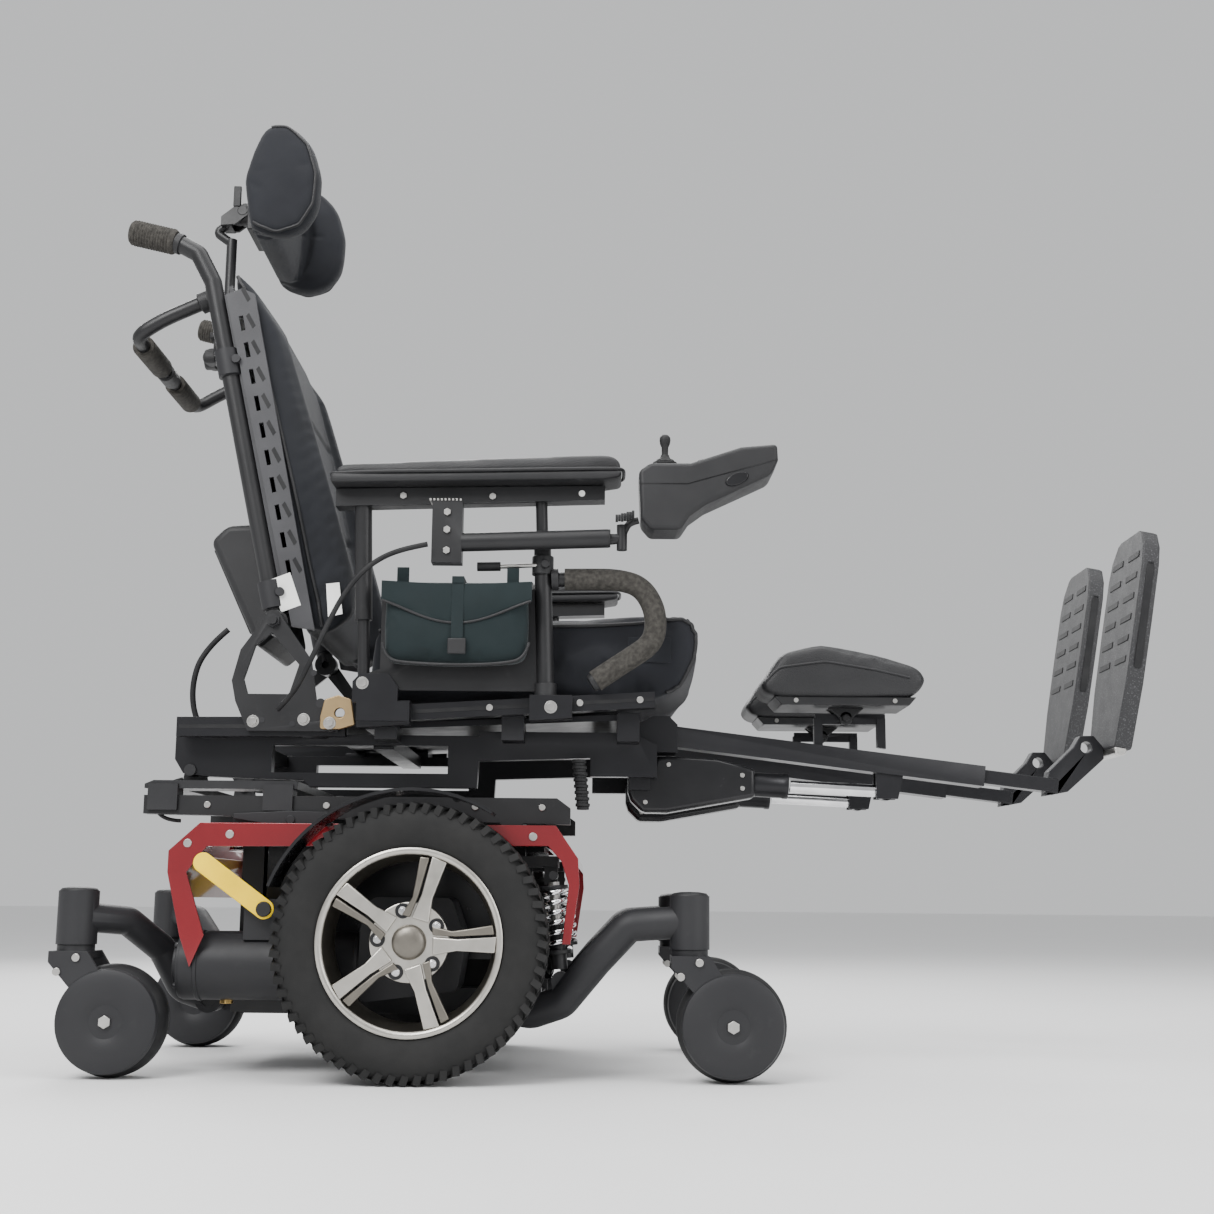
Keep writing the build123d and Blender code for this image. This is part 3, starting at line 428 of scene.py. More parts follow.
# camera, floor and light
def buildStage():
    view = {"place": (-0.025, -2.440, 0.229), "pitch": 100.1, "roll": 0.5, "lens": 49.0}
    camera = bpy.data.objects.new("camera", bpy.data.cameras.new("camera"))
    camera.data.lens = view["lens"]
    camera.data.sensor_width = 36
    camera.matrix_world = (Matrix.Translation(view["place"])
                           @ Matrix.Rotation(radians(view["pitch"]), 4, "X")
                           @ Matrix.Rotation(radians(view["roll"]), 4, "Z"))
    bpy.context.collection.objects.link(camera)
    bpy.context.scene.camera = camera

    floorMesh = bmesh.new()
    bmesh.ops.create_circle(floorMesh, cap_ends=True, radius=40, segments=64)
    data = bpy.data.meshes.new("floor")
    floorMesh.to_mesh(data)
    floorMesh.free()
    floor = bpy.data.objects.new("floor", data)
    bpy.context.collection.objects.link(floor)
    recipe = Recipe("paleFloor", Specular_IOR_Level=0.2)
    recipe.use(Base_Color=recipe.mix(recipe.noise(2), (0.80, 0.80, 0.80), (0.84, 0.84, 0.84)),
               Roughness=recipe.noise(8) * 0.1 + 0.6)
    data.materials.append(recipe.material)

    world = bpy.data.worlds.new("studio")
    world.use_nodes = True
    world.node_tree.nodes["Background"].inputs["Color"].default_value = (0.93, 0.94, 0.95, 1)
    world.node_tree.nodes["Background"].inputs["Strength"].default_value = 0.75
    bpy.context.scene.world = world
    lamps = [
        ("key", (-1.6, -2.6, 2.9), 150, 1.8, 0.6),
        ("fill", (2.6, -2.2, 1.6), 55, 2.2, 0.6),
        ("rim", (-1.2, 2.8, 2.6), 90, 2.0, 0.7),
        ("top", (0.2, -0.2, 3.6), 110, 3.0, 0.5),
    ]
    for name, place, power, size, aim in lamps:
        light = bpy.data.lights.new(name, "AREA")
        light.energy = power
        light.size = size
        lamp = bpy.data.objects.new(name, light)
        lamp.location = place
        lamp.rotation_euler = (Vector((0, 0, aim)) - Vector(place)).to_track_quat("-Z", "Y").to_euler()
        bpy.context.collection.objects.link(lamp)
    print("stage: camera, floor and lights")


# rigid CAD nodes that keep their shape, with broken edges
def finishFrame():
    plain = {"chassis_frame": "black", "battery_pack": "plastic", "base_cover": "gloss",
             "drive_motors": "softBlack", "tilt_carriage": "greyRail", "seat_frame": "anodised",
             "recline_quadrants": "black", "back_canes": "black", "headrest_stem": "black",
             "joystick_arm": "black", "joystick_gimbal": "plastic", "tie_down_hooks": "bronze",
             "back_shell": "shellGrey"}
    for side in sides:
        for node, finish in (("front_arm", "softBlack"), ("rear_arm", "softBlack"),
                             ("freewheel_lever", "yellow"), ("arm_frame", "black"), ("arm_top", "black"),
                             ("leg_beam", "anodised"), ("leg_slide", "anodised"),
                             ("fork_front", "softBlack"), ("fork_rear", "softBlack")):
            plain[f"{node}_{side}"] = finish
    for node, finish in plain.items():
        softened(node, finish)
    print("frame: edges broken on", len(plain), "nodes")


# drive wheels
driveWheel = {"radius": 0.176, "half": 0.038, "track": 0.287, "bead": 0.119, "lugs": 64,
              "boltCircle": 0.040, "boltTurn": 31}


def mirrored(side, profile):
    return [(radius, side * offset) for radius, offset in profile]


def wheelSpot(centre, radius, turn, y):
    return Vector((centre[0] + radius * cos(turn), y, centre[2] + radius * sin(turn)))


def fan(mesh, centre, turn, corners, low, high):
    # a block in the wheel's plane: corners are (radius, sideways) pairs
    outline = []
    for radius, aside in corners:
        x = centre[0] + radius * cos(turn) - aside * sin(turn)
        z = centre[2] + radius * sin(turn) + aside * cos(turn)
        outline.append((x, z))
    prism(mesh, outline, low, high)


def buildDriveWheels():
    w = driveWheel
    low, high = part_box("tyre_right")
    for name, side in sides.items():
        centre = Vector(((low[0] + high[0]) / 2, side * w["track"], w["radius"]))
        body = "drive_wheel_" + name
        h = w["half"]
        bead = w["bead"]
        section = [(bead, -0.029), (0.126, -0.034), (0.140, -h), (0.152, -h), (0.163, -0.0355),
                   (0.1695, -0.030), (0.1712, -0.018), (0.172, 0), (0.1712, 0.018), (0.1695, 0.030),
                   (0.163, 0.0355), (0.152, h), (0.140, h), (0.126, 0.034), (bead, 0.029),
                   (bead + 0.002, 0), (bead, -0.029)]
        spun(f"tyre_{name}_carcass", section, centre, "tyre", body, [f"tyre_{name}"], steps=96, smooth=50)
        tread = bmesh.new()
        for index in range(w["lugs"]):
            for row in (-1, 1):
                turn = 2 * pi * (index + 0.25 * row) / w["lugs"]
                place = (Matrix.Translation(wheelSpot(centre, 0.1685, turn, centre.y + row * 0.0245))
                         @ Matrix.Rotation(-turn, 4, "Y") @ Matrix.Rotation(row * 0.30, 4, "X"))
                bmesh.ops.create_cube(tread, size=1,
                                      matrix=place @ Matrix.Rotation(row * -0.28, 4, "Y")
                                      @ Matrix.Diagonal((0.0125, 0.0255, 0.0088, 1)))
            for row in (-0.0065, 0.0065):
                turn = 2 * pi * (index + (0.5 if row > 0 else 0)) / w["lugs"]
                place = (Matrix.Translation(wheelSpot(centre, 0.1725, turn, centre.y + row))
                         @ Matrix.Rotation(-turn, 4, "Y"))
                bmesh.ops.create_cube(tread, size=1,
                                      matrix=place @ Matrix.Diagonal((0.0058, 0.0085, 0.0105, 1)))
        for vertex in tread.verts:
            offset = Vector((vertex.co.x - centre.x, 0, vertex.co.z - centre.z))
            if offset.length > w["radius"]:
                offset *= w["radius"] / offset.length
                vertex.co = Vector((centre.x + offset.x, vertex.co.y, centre.z + offset.z))
        settle(tread)
        piece(f"tyre_{name}_tread", tread, "tyre", body, smooth=30)

        face = centre.y + side * 0.026
        lip = [(0.1185, -0.030), (0.1185, 0.030), (0.1135, 0.031), (0.1105, 0.028), (0.1095, 0.018),
               (0.104, 0.002), (0.102, -0.026), (0.1185, -0.030)]
        # the rim barrel is drawn in the shaded pewter: painted shade
        spun(f"rim_{name}_barrel", mirrored(side, lip), centre, "pewterPaintedShade", body, [f"rim_{name}"],
             steps=96, smooth=40)
        ring = [(0.1185, 0.0300), (0.1185, 0.0318), (0.1160, 0.0335), (0.1115, 0.0325), (0.1095, 0.0290),
                (0.1185, 0.0300)]
        spun(f"rim_{name}_lip", mirrored(side, ring), centre, "pewter", body, steps=96, smooth=50)
        planks = bmesh.new()
        insets = bmesh.new()
        for index in range(5):
            turn = radians(72 * index + 2)
            fan(planks, centre, turn,
                [(0.030, -0.017), (0.060, -0.0125), (0.108, -0.0165), (0.111, 0.004), (0.062, 0.0025),
                 (0.030, 0.006)], face - 0.006, face + 0.002)
            fan(insets, centre, turn,
                [(0.030, 0.008), (0.060, 0.0055), (0.108, 0.0065), (0.106, 0.0185), (0.078, 0.0150),
                 (0.055, 0.0125), (0.030, 0.0190)], face - 0.007, face - 0.0005)
        # the insets are drawn in the shaded pewter: painted shade on the recessed half of each spoke
        for mesh, label, finish in ((planks, "planks", "pewter"), (insets, "insets", "pewterPaintedShade")):
            settle(mesh)
            piece(f"rim_{name}_{label}", mesh, finish, body, bevel=0.0018, segments=3)
        hub = bmesh.new()
        drum(hub, (centre.x, face - side * 0.003, centre.z), 0.0505, 0.010, segments=64)
        drum(hub, (centre.x, centre.y, centre.z), 0.034, 0.044, segments=48)
        piece(f"rim_{name}_hub", hub, "pewter", body, bevel=0.0016, segments=3)
        cap = [(0.0001, 0.0125), (0.009, 0.0122), (0.017, 0.0105), (0.0205, 0.0075), (0.0225, 0.001),
               (0.0225, -0.004), (0.0001, -0.004)]
        spun(f"rim_{name}_cap", mirrored(side, cap), (centre.x, face, centre.z), "pewterPaintedShade", body,
             steps=48, smooth=50)
        # painted shade: gloss black cups round the bolt heads stand in for the shaded bolt pockets
        recess = bmesh.new()
        heads = bmesh.new()
        for index in range(5):
            turn = radians(w["boltTurn"] + 72 * index)
            spot = wheelSpot(centre, w["boltCircle"], turn, face + side * 0.0022)
            cup = [(0.0056, 0.0012), (0.0092, 0.0012), (0.0098, 0.0), (0.0098, -0.002), (0.0056, -0.002),
                   (0.0056, 0.0012)]
            turned(recess, mirrored(side, cup), spot, steps=24)
            drum(heads, spot + Vector((0, side * 0.0008, 0)), 0.0055, 0.0052, segments=6)
            drum(heads, spot + Vector((0, side * 0.0026, 0)), 0.0036, 0.0032, segments=16)
        settle(recess)
        settle(heads)
        piece(f"rim_{name}_recesses", recess, "gloss", body, smooth=40)
        piece(f"rim_{name}_bolts", heads, "chrome", body, bevel=0.0005)
    print("drive wheels: tyres, tread and five-spoke rims")


# casters
caster = {"radius": 0.072, "trail": 0.054, "coverY": 0.0335, "barrelTop": 0.2375}


def buildCasters():
    c = caster
    for end in ("front", "rear"):
        for name in sides:
            low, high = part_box(f"caster_{end}_{name}")
            centre = Vector([(a + b) / 2 for a, b in zip(low, high)])
            body = f"{end}_caster_{name}"
            fork = f"{end}_fork_{name}"
            section = [(0.046, -0.016), (0.052, -0.019), (0.060, -0.021), (0.066, -0.018),
                       (0.0702, -0.011), (0.0719, -0.004), (0.0719, 0.004), (0.0702, 0.011),
                       (0.066, 0.018), (0.060, 0.021), (0.052, 0.019), (0.046, 0.016), (0.046, -0.016)]
            spun(f"caster_{end}_{name}_tyre", section, centre, "rubber", body, [f"caster_{end}_{name}"],
                 steps=72, smooth=60)
            hub = [(0.0062, -0.018), (0.018, -0.018), (0.022, -0.013), (0.038, -0.012), (0.046, -0.0165),
                   (0.046, 0.0165), (0.038, 0.012), (0.022, 0.013), (0.018, 0.018), (0.0062, 0.018),
                   (0.0062, -0.018)]
            spun(f"caster_{end}_{name}_hub", hub, centre, "plastic", body, steps=48)
            covers = bmesh.new()
            trims = bmesh.new()
            for face in (-1, 1):
                mid = centre + Vector((0, face * c["coverY"], 0))
                dish = [(0.0095, 0.0020), (0.020, 0.0022), (0.023, 0.0048), (0.040, 0.0052),
                        (0.058, 0.0044), (0.0645, 0.0020), (0.0665, -0.0035), (0.0640, -0.0052),
                        (0.0095, -0.0030), (0.0095, 0.0020)]
                turned(covers, mirrored(face, dish), mid)
                drum(trims, mid + Vector((0, face * 0.0040, 0)), 0.0085, 0.0070, segments=6)
                for spot in ((-0.043, 0.080), (-0.067, 0.062)):
                    drum(trims,
                         Vector((centre.x + spot[0], centre.y + face * c["coverY"],
                                 c["radius"] + spot[1])), 0.0052, 0.0042, segments=18)
            settle(covers)
            piece(f"fork_{end}_{name}_covers", covers, "softBlack", fork, smooth=45)
            piece(f"fork_{end}_{name}_screws", trims, "steel", fork, bevel=0.0006)
            stem = Vector((centre.x - c["trail"], centre.y, c["barrelTop"]))
            cap = [(0.0001, 0.0048), (0.012, 0.0045), (0.022, 0.0028), (0.0245, 0.0), (0.0245, -0.002),
                   (0.0001, -0.002)]
            spun(f"{end}_barrel_cap_{name}", cap, stem, "plastic", f"{end}_arm_body_{name}", axis="Z",
                 steps=40, smooth=45)
    print("casters: tyres, hubs and fork covers")


# padded pieces: remeshed, swollen by cloth pressure, then smoothed
def swell(made, voxel=0.006, pressure=4.0, cap=0.010, hold=None, relax=6):
    scene = bpy.context.scene
    bpy.context.view_layer.objects.active = made
    remesh = made.modifiers.new("remesh", "REMESH")
    remesh.mode = "VOXEL"
    remesh.voxel_size = voxel
    bpy.context.view_layer.update()
    solid = bpy.data.meshes.new_from_object(made.evaluated_get(bpy.context.evaluated_depsgraph_get()))
    made.modifiers.clear()
    made.data = solid
    mesh = bmesh.new()
    mesh.from_mesh(solid)
    for _ in range(relax):
        bmesh.ops.smooth_vert(mesh, verts=mesh.verts, factor=0.5, use_axis_x=True, use_axis_y=True,
                              use_axis_z=True)
    mesh.to_mesh(solid)
    mesh.free()
    rest = [vertex.co.copy() for vertex in solid.vertices]
    held = made.vertex_groups.new(name="held")
    for index, place in enumerate(rest):
        if hold and hold(place):
            held.add([index], 1.0, "REPLACE")
    cloth = made.modifiers.new("cloth", "CLOTH")
    cloth.settings.quality = 4
    cloth.settings.tension_stiffness = 12
    cloth.settings.bending_stiffness = 4
    cloth.settings.use_pressure = True
    cloth.settings.uniform_pressure_force = pressure
    cloth.settings.effector_weights.gravity = 0
    cloth.settings.vertex_group_mass = "held"
    cloth.collision_settings.use_self_collision = False
    for step in range(1, 21):
        scene.frame_set(step)
    swollen = made.evaluated_get(bpy.context.evaluated_depsgraph_get()).data
    for vertex, before, after in zip(solid.vertices, rest, [v.co.copy() for v in swollen.vertices]):
        push = after - before
        if push.length > cap:
            push *= cap / push.length
        vertex.co = before + push
    made.modifiers.clear()
    made.vertex_groups.clear()
    scene.frame_set(1)
    return made


def quilt(made, amount, field):
    # presses seams and channels into a padded mesh; field gives 0 to 1 at a place
    for vertex, normal in zip(made.data.vertices, [v.normal.copy() for v in made.data.vertices]):
        vertex.co -= normal * (amount * field(vertex.co))


def groove(distance, width):
    return max(0.0, 1 - (distance / width) ** 2)


def padPiece(name, mesh, finish, body, nodes, fill, **how):
    settle(mesh)
    made = piece(name, mesh, finish, body, nodes, smooth=180)
    field = how.pop("field", None)
    depth = how.pop("depth", 0.0)
    swell(made, **how)
    if field:
        quilt(made, depth, field)
    refine = made.modifiers.new("surface", "SUBSURF")
    refine.levels = 1
    refine.render_levels = 1
    dress(made, finish, 180)
    return made


def bevelled(mesh, width, segments=4, limit=25):
    edges = [e for e in mesh.edges if len(e.link_faces) == 2 and e.calc_face_angle(0) > radians(limit)]
    bmesh.ops.bevel(mesh, geom=edges, offset=width, segments=segments, profile=0.5, affect="EDGES",
                    material=-1, clamp_overlap=True)


# seat cushion
seatCushion = {"half": 0.221, "round": 0.022, "pipe": 0.0028, "pipeY": 0.2205}


def buildSeatCushion():
    s = seatCushion
    mesh = bmesh.new()
    outline = [(-0.346, 0.490), (-0.10, 0.493), (0.050, 0.500), (0.079, 0.509), (0.101, 0.551),
               (0.105, 0.589), (0.094, 0.609), (0.06, 0.612), (-0.12, 0.606), (-0.346, 0.598)]
    prism(mesh, outline, -s["half"], s["half"])
    bevelled(mesh, s["round"])

    def seams(place):
        side = groove(abs(abs(place.y) - 0.205), 0.006) if place.z > 0.58 else 0.0
        cross = groove(abs(place.x - 0.060), 0.006) if place.z > 0.59 else 0.0
        return max(side, cross)

    cover = padPiece("seat_cushion_cover", mesh, "seatCloth", "seat", ["seat_cushion"], 0.8, voxel=0.006,
                     cap=0.007, hold=lambda p: p.z < 0.500, field=seams, depth=0.003)
    for name, side in sides.items():
        y = side * s["pipeY"]
        route = [(-0.345, y, 0.598), (-0.24, y, 0.606), (-0.12, y, 0.610), (0.0, y, 0.614),
                 (0.075, y, 0.615), (0.100, y, 0.606), (0.109, y, 0.588), (0.105, y, 0.552),
                 (0.082, y, 0.509), (0.055, y, 0.497)]
        piping(f"seat_piping_{name}", route, s["pipe"], "vinyl", "seat", cover)
    front = [(0.088, -0.218, 0.612), (0.094, -0.14, 0.6125), (0.095, 0.0, 0.6130), (0.094, 0.14, 0.6125),
             (0.088, 0.218, 0.612)]
    piping("seat_piping_front", front, s["pipe"], "vinyl", "seat", cover)
    tag = bmesh.new()
    box(tag, (0.004, -0.2265, 0.548), (0.062, -0.2245, 0.582))
    piece("seat_label", tag, "meshCloth", "seat", bevel=0.0006)
    print("seat cushion")


# back cushion
backCushion = {"half": 0.203, "pipeY": 0.2045, "lean": (-0.112, 0.490), "pivot": (-0.477, 0.600)}


def backSpot(up, forward, y=0.0):
    b = backCushion
    length = hypot(*b["lean"])
    x, z = b["lean"][0] / length, b["lean"][1] / length
    return Vector((b["pivot"][0] + up * x + forward * z, y, b["pivot"][1] + up * z - forward * x))


def backOutline(points):
    return [tuple(backSpot(*point).xz) for point in points]


def backFrame(place):
    # distance up the back and forward of the canes, for a place on the back
    b = backCushion
    length = hypot(*b["lean"])
    x, z = b["lean"][0] / length, b["lean"][1] / length
    dx, dz = place.x - b["pivot"][0], place.z - b["pivot"][1]
    return dx * x + dz * z, dx * z - dz * x


def buildBackCushion():
    b = backCushion
    mesh = bmesh.new()
    middle = [(-0.020, 0.030), (-0.020, 0.062), (0.0, 0.072), (0.30, 0.070), (0.44, 0.066),
              (0.505, 0.052), (0.522, 0.034), (0.50, 0.029)]
    wing = [(-0.030, 0.066), (-0.008, 0.102), (0.040, 0.105), (0.200, 0.094), (0.430, 0.074),
            (0.490, 0.055), (0.520, 0.034), (0.500, 0.029), (0.0, 0.029), (-0.022, 0.052)]
    prism(mesh, backOutline(middle), -0.176, 0.176)
    bevelled(mesh, 0.014)
    for side in (-1, 1):
        part = bmesh.new()
        prism(part, backOutline(wing), *between(side, 0.148, b["half"]))
        bevelled(part, 0.018)
        join(mesh, part)

    def seams(place):
        up, forward = backFrame(place)
        if forward < 0.050:
            return 0.0
        rows = max(groove(abs(up - row), 0.006)
                   for row in (0.17, 0.33, 0.455)) if abs(place.y) < 0.150 else 0.0
        return max(rows, groove(abs(abs(place.y) - 0.149), 0.007))

    cover = padPiece("back_cushion_cover", mesh, "meshCloth", "back", ["back_cushion"], 0.8, voxel=0.006,
                     cap=0.008, hold=lambda p: backFrame(p)[1] < 0.036, field=seams, depth=0.0045)
    for name, side in sides.items():
        y = side * b["pipeY"]
        edge = [(-0.020, 0.058), (0.02, 0.060), (0.15, 0.058), (0.30, 0.053), (0.43, 0.046),
                (0.49, 0.040), (0.515, 0.031)]
        piping(f"back_piping_{name}", [backSpot(*p, y) for p in edge], 0.0028, "vinyl", "back", cover)
    label = bmesh.new()
    corners = [backSpot(-0.006, 0.070), backSpot(0.040, 0.076), backSpot(0.038, 0.094),
               backSpot(-0.006, 0.090)]
    prism(label, [tuple(c.xz) for c in corners], -0.2062, -0.2046)
    settle(label)
    piece("back_label", label, "white", "back")
    print("back cushion")


# headrest
def buildHeadrest():
    mesh = bmesh.new()
    middle = [(-0.560, 1.204), (-0.536, 1.196), (-0.530, 1.24), (-0.528, 1.30), (-0.530, 1.345),
              (-0.545, 1.372), (-0.562, 1.335), (-0.572, 1.285)]
    lobe = [(-0.560, 1.204), (-0.520, 1.190), (-0.482, 1.204), (-0.461, 1.240), (-0.459, 1.290),
            (-0.473, 1.338), (-0.506, 1.372), (-0.543, 1.373), (-0.560, 1.33), (-0.572, 1.285)]
    prism(mesh, middle, -0.110, 0.110)
    bevelled(mesh, 0.008, 3)
    for side in (-1, 1):
        part = bmesh.new()
        prism(part, lobe, *between(side, 0.092, 0.136))
        bevelled(part, 0.016, 4)
        join(mesh, part)

    def seams(place):
        return max(groove(abs(abs(place.y) - 0.094), 0.006),
                   groove(abs(place.z - 1.285), 0.004) if abs(place.y) < 0.09 else 0.0)

    cover = padPiece("headrest_cover", mesh, "seatCloth", "headrest", ["headrest_pad"], 0.85,
                     voxel=0.0045, cap=0.006, field=seams, depth=0.003, hold=lambda p: p.x < -0.562)
    for name, side in sides.items():
        outline = [(-0.558, side * 0.1375, 1.212), (-0.520, side * 0.1385, 1.194),
                   (-0.484, side * 0.1385, 1.207), (-0.464, side * 0.1385, 1.242),
                   (-0.462, side * 0.1385, 1.290), (-0.476, side * 0.1385, 1.336),
                   (-0.507, side * 0.1385, 1.369), (-0.540, side * 0.1375, 1.370)]
        piping(f"headrest_piping_{name}", outline, 0.0022, "vinyl", "headrest", cover)
    hardware = bmesh.new()
    box(hardware, (-0.583, -0.045, 1.240), (-0.574, 0.045, 1.325))
    drum(hardware, (-0.590, 0, 1.282), 0.018, 0.020, "X")
    drum(hardware, (-0.597, 0, 1.282), 0.0085, 0.036, "Y")
    piece("headrest_bracket", hardware, "black", "headrest", bevel=0.0015)
    knob = bmesh.new()
    drum(knob, (-0.637, 0, 1.045), 0.016, 0.018, "X", 24)
    box(knob, (-0.634, -0.034, 1.068), (-0.622, 0.034, 1.078))
    piece("headrest_clamp_knob", knob, "plastic", "back", bevel=0.002, segments=3)
    ball = bmesh.new()
    bmesh.ops.create_uvsphere(ball, u_segments=32, v_segments=20, radius=0.0155,
                              matrix=Matrix.Translation((-0.606, 0, 1.280)))
    piece("headrest_ball", ball, "softBlack", "headrest_post")
    lever = bmesh.new()
    box(lever, (-0.612, -0.019, 1.288), (-0.600, -0.014, 1.322))
    piece("headrest_lever", lever, "plastic", "headrest_post", bevel=0.0015)
    print("headrest")


# calf pads
legY = 0.130


def buildCalfPads():
    for name, side in sides.items():
        mesh = bmesh.new()
        y = side * legY
        outline = [(0.184, 0.520), (0.203, 0.508), (0.300, 0.508), (0.398, 0.509), (0.418, 0.531),
                   (0.407, 0.550), (0.347, 0.567), (0.270, 0.582), (0.214, 0.568)]
        prism(mesh, outline, y - 0.061, y + 0.061)
        bevelled(mesh, 0.016)
        cover = padPiece(f"calf_pad_{name}_cover", mesh, "vinyl", f"calf_{name}", [f"calf_pad_{name}"],
                         0.8, voxel=0.0045, cap=0.005, hold=lambda p: p.z < 0.512, depth=0.010,
                         field=lambda p,
                         y=y: max(0.0, 1 - ((p.y - y) / 0.038) ** 2)
                         * max(0.0, min(1.0, (p.z - 0.535) / 0.02)))
        seam = [(0.190, y - 0.0635, 0.531), (0.212, y - 0.0645, 0.548), (0.275, y - 0.0645, 0.556),
                (0.345, y - 0.0645, 0.545), (0.400, y - 0.0635, 0.533)]
        piping(f"calf_seam_{name}", seam, 0.0016, "vinyl", f"calf_{name}", cover)
        tray = bmesh.new()
        prism(tray, [(0.216, 0.4975), (0.392, 0.4975), (0.402, 0.509), (0.206, 0.509)], y - 0.052,
              y + 0.052)
        for offset in (-0.010, 0.010):
            prism(tray, [(0.3005, 0.4840), (0.3195, 0.4840), (0.336, 0.4985), (0.284, 0.4985)],
                  y + offset - 0.003, y + offset + 0.003)
            drum(tray, (0.310, y + offset, 0.484), 0.0098, 0.006, "Y", 36)
        for reach in (-0.0150, 0.0150):
            drum(tray, (0.310, y + reach, 0.484), 0.0062, 0.003, "Y", 6)
        settle(tray)
        piece(f"calf_tray_{name}", tray, "black", f"calf_{name}", bevel=0.002)
        slots = bmesh.new()
        for x in (0.236, 0.372):
            drum(slots, (x, y - 0.0523, 0.5035), 0.0032, 0.002, "Y", 16)
        piece(f"calf_screws_{name}", slots, "steel", f"calf_{name}")
    print("calf pads")


# arm pads
armPad = {"half": 0.036, "y": 0.270, "top": 0.822}


def buildArmPads():
    for name, side in sides.items():
        drop = armPad["top"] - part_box(f"arm_pad_{name}")[1][2]
        y = side * armPad["y"]
        h = armPad["half"]
        body = f"armrest_top_{name}"
        mesh = bmesh.new()
        outline = [(-0.391, 0.784 - drop), (-0.390, 0.797 - drop), (-0.378, 0.802 - drop),
                   (-0.20, 0.810 - drop), (-0.025, 0.818 - drop), (-0.010, 0.812 - drop),
                   (-0.007, 0.800 - drop), (-0.010, 0.793 - drop), (-0.030, 0.791 - drop)]
        prism(mesh, outline, y - h + 0.003, y + h - 0.003)
        bevelled(mesh, 0.010, 4)
        padPiece(f"arm_pad_{name}_cover", mesh, "vinyl", body, [f"arm_pad_{name}"], 0.75, voxel=0.0045,
                 cap=0.0035, hold=lambda p, d=drop: p.z < 0.795 - d)
        base = bmesh.new()
        prism(base,
              [(-0.395, 0.775 - drop), (-0.395, 0.788 - drop), (-0.030, 0.7955 - drop),
               (-0.006, 0.795 - drop), (-0.008, 0.786 - drop), (-0.030, 0.7825 - drop)], y - h, y + h)
        settle(base)
        bevelled(base, 0.0045, 3)
        piece(f"arm_pad_{name}_base", base, "plastic", body, smooth=40)
        ring = [(-0.395, y - h + 0.012, 0.7885 - drop), (-0.392, y - h, 0.7888 - drop),
                (-0.20, y - h - 0.0005, 0.7925 - drop), (-0.025, y - h, 0.797 - drop),
                (-0.0045, y - h + 0.004, 0.797 - drop), (-0.0035, y, 0.797 - drop),
                (-0.0045, y + h - 0.004, 0.797 - drop), (-0.025, y + h, 0.797 - drop),
                (-0.20, y + h + 0.0005, 0.7925 - drop), (-0.392, y + h, 0.7888 - drop),
                (-0.395, y + h - 0.012, 0.7885 - drop)]
        pipe(f"arm_pad_{name}_piping", ring, 0.0024, "vinyl", body)
        plugs = bmesh.new()
        drum(plugs, (-0.060, side * 0.2775, 0.7690 - drop), 0.0042, 0.003, "Y", 20)
        piece(f"arm_channel_{name}_plug", plugs, "white", body)
        bolts = bmesh.new()
        for x in (-0.300, -0.180):
            drum(bolts, (x, side * 0.278, 0.7640 - drop), 0.005, 0.004, "Y", 6)
        piece(f"arm_channel_{name}_bolts", bolts, "steel", body, bevel=0.0006)
    print("arm pads")


# side bag
sideBag = {"rear": -0.321, "front": -0.125, "inner": -0.267, "outer": -0.299}


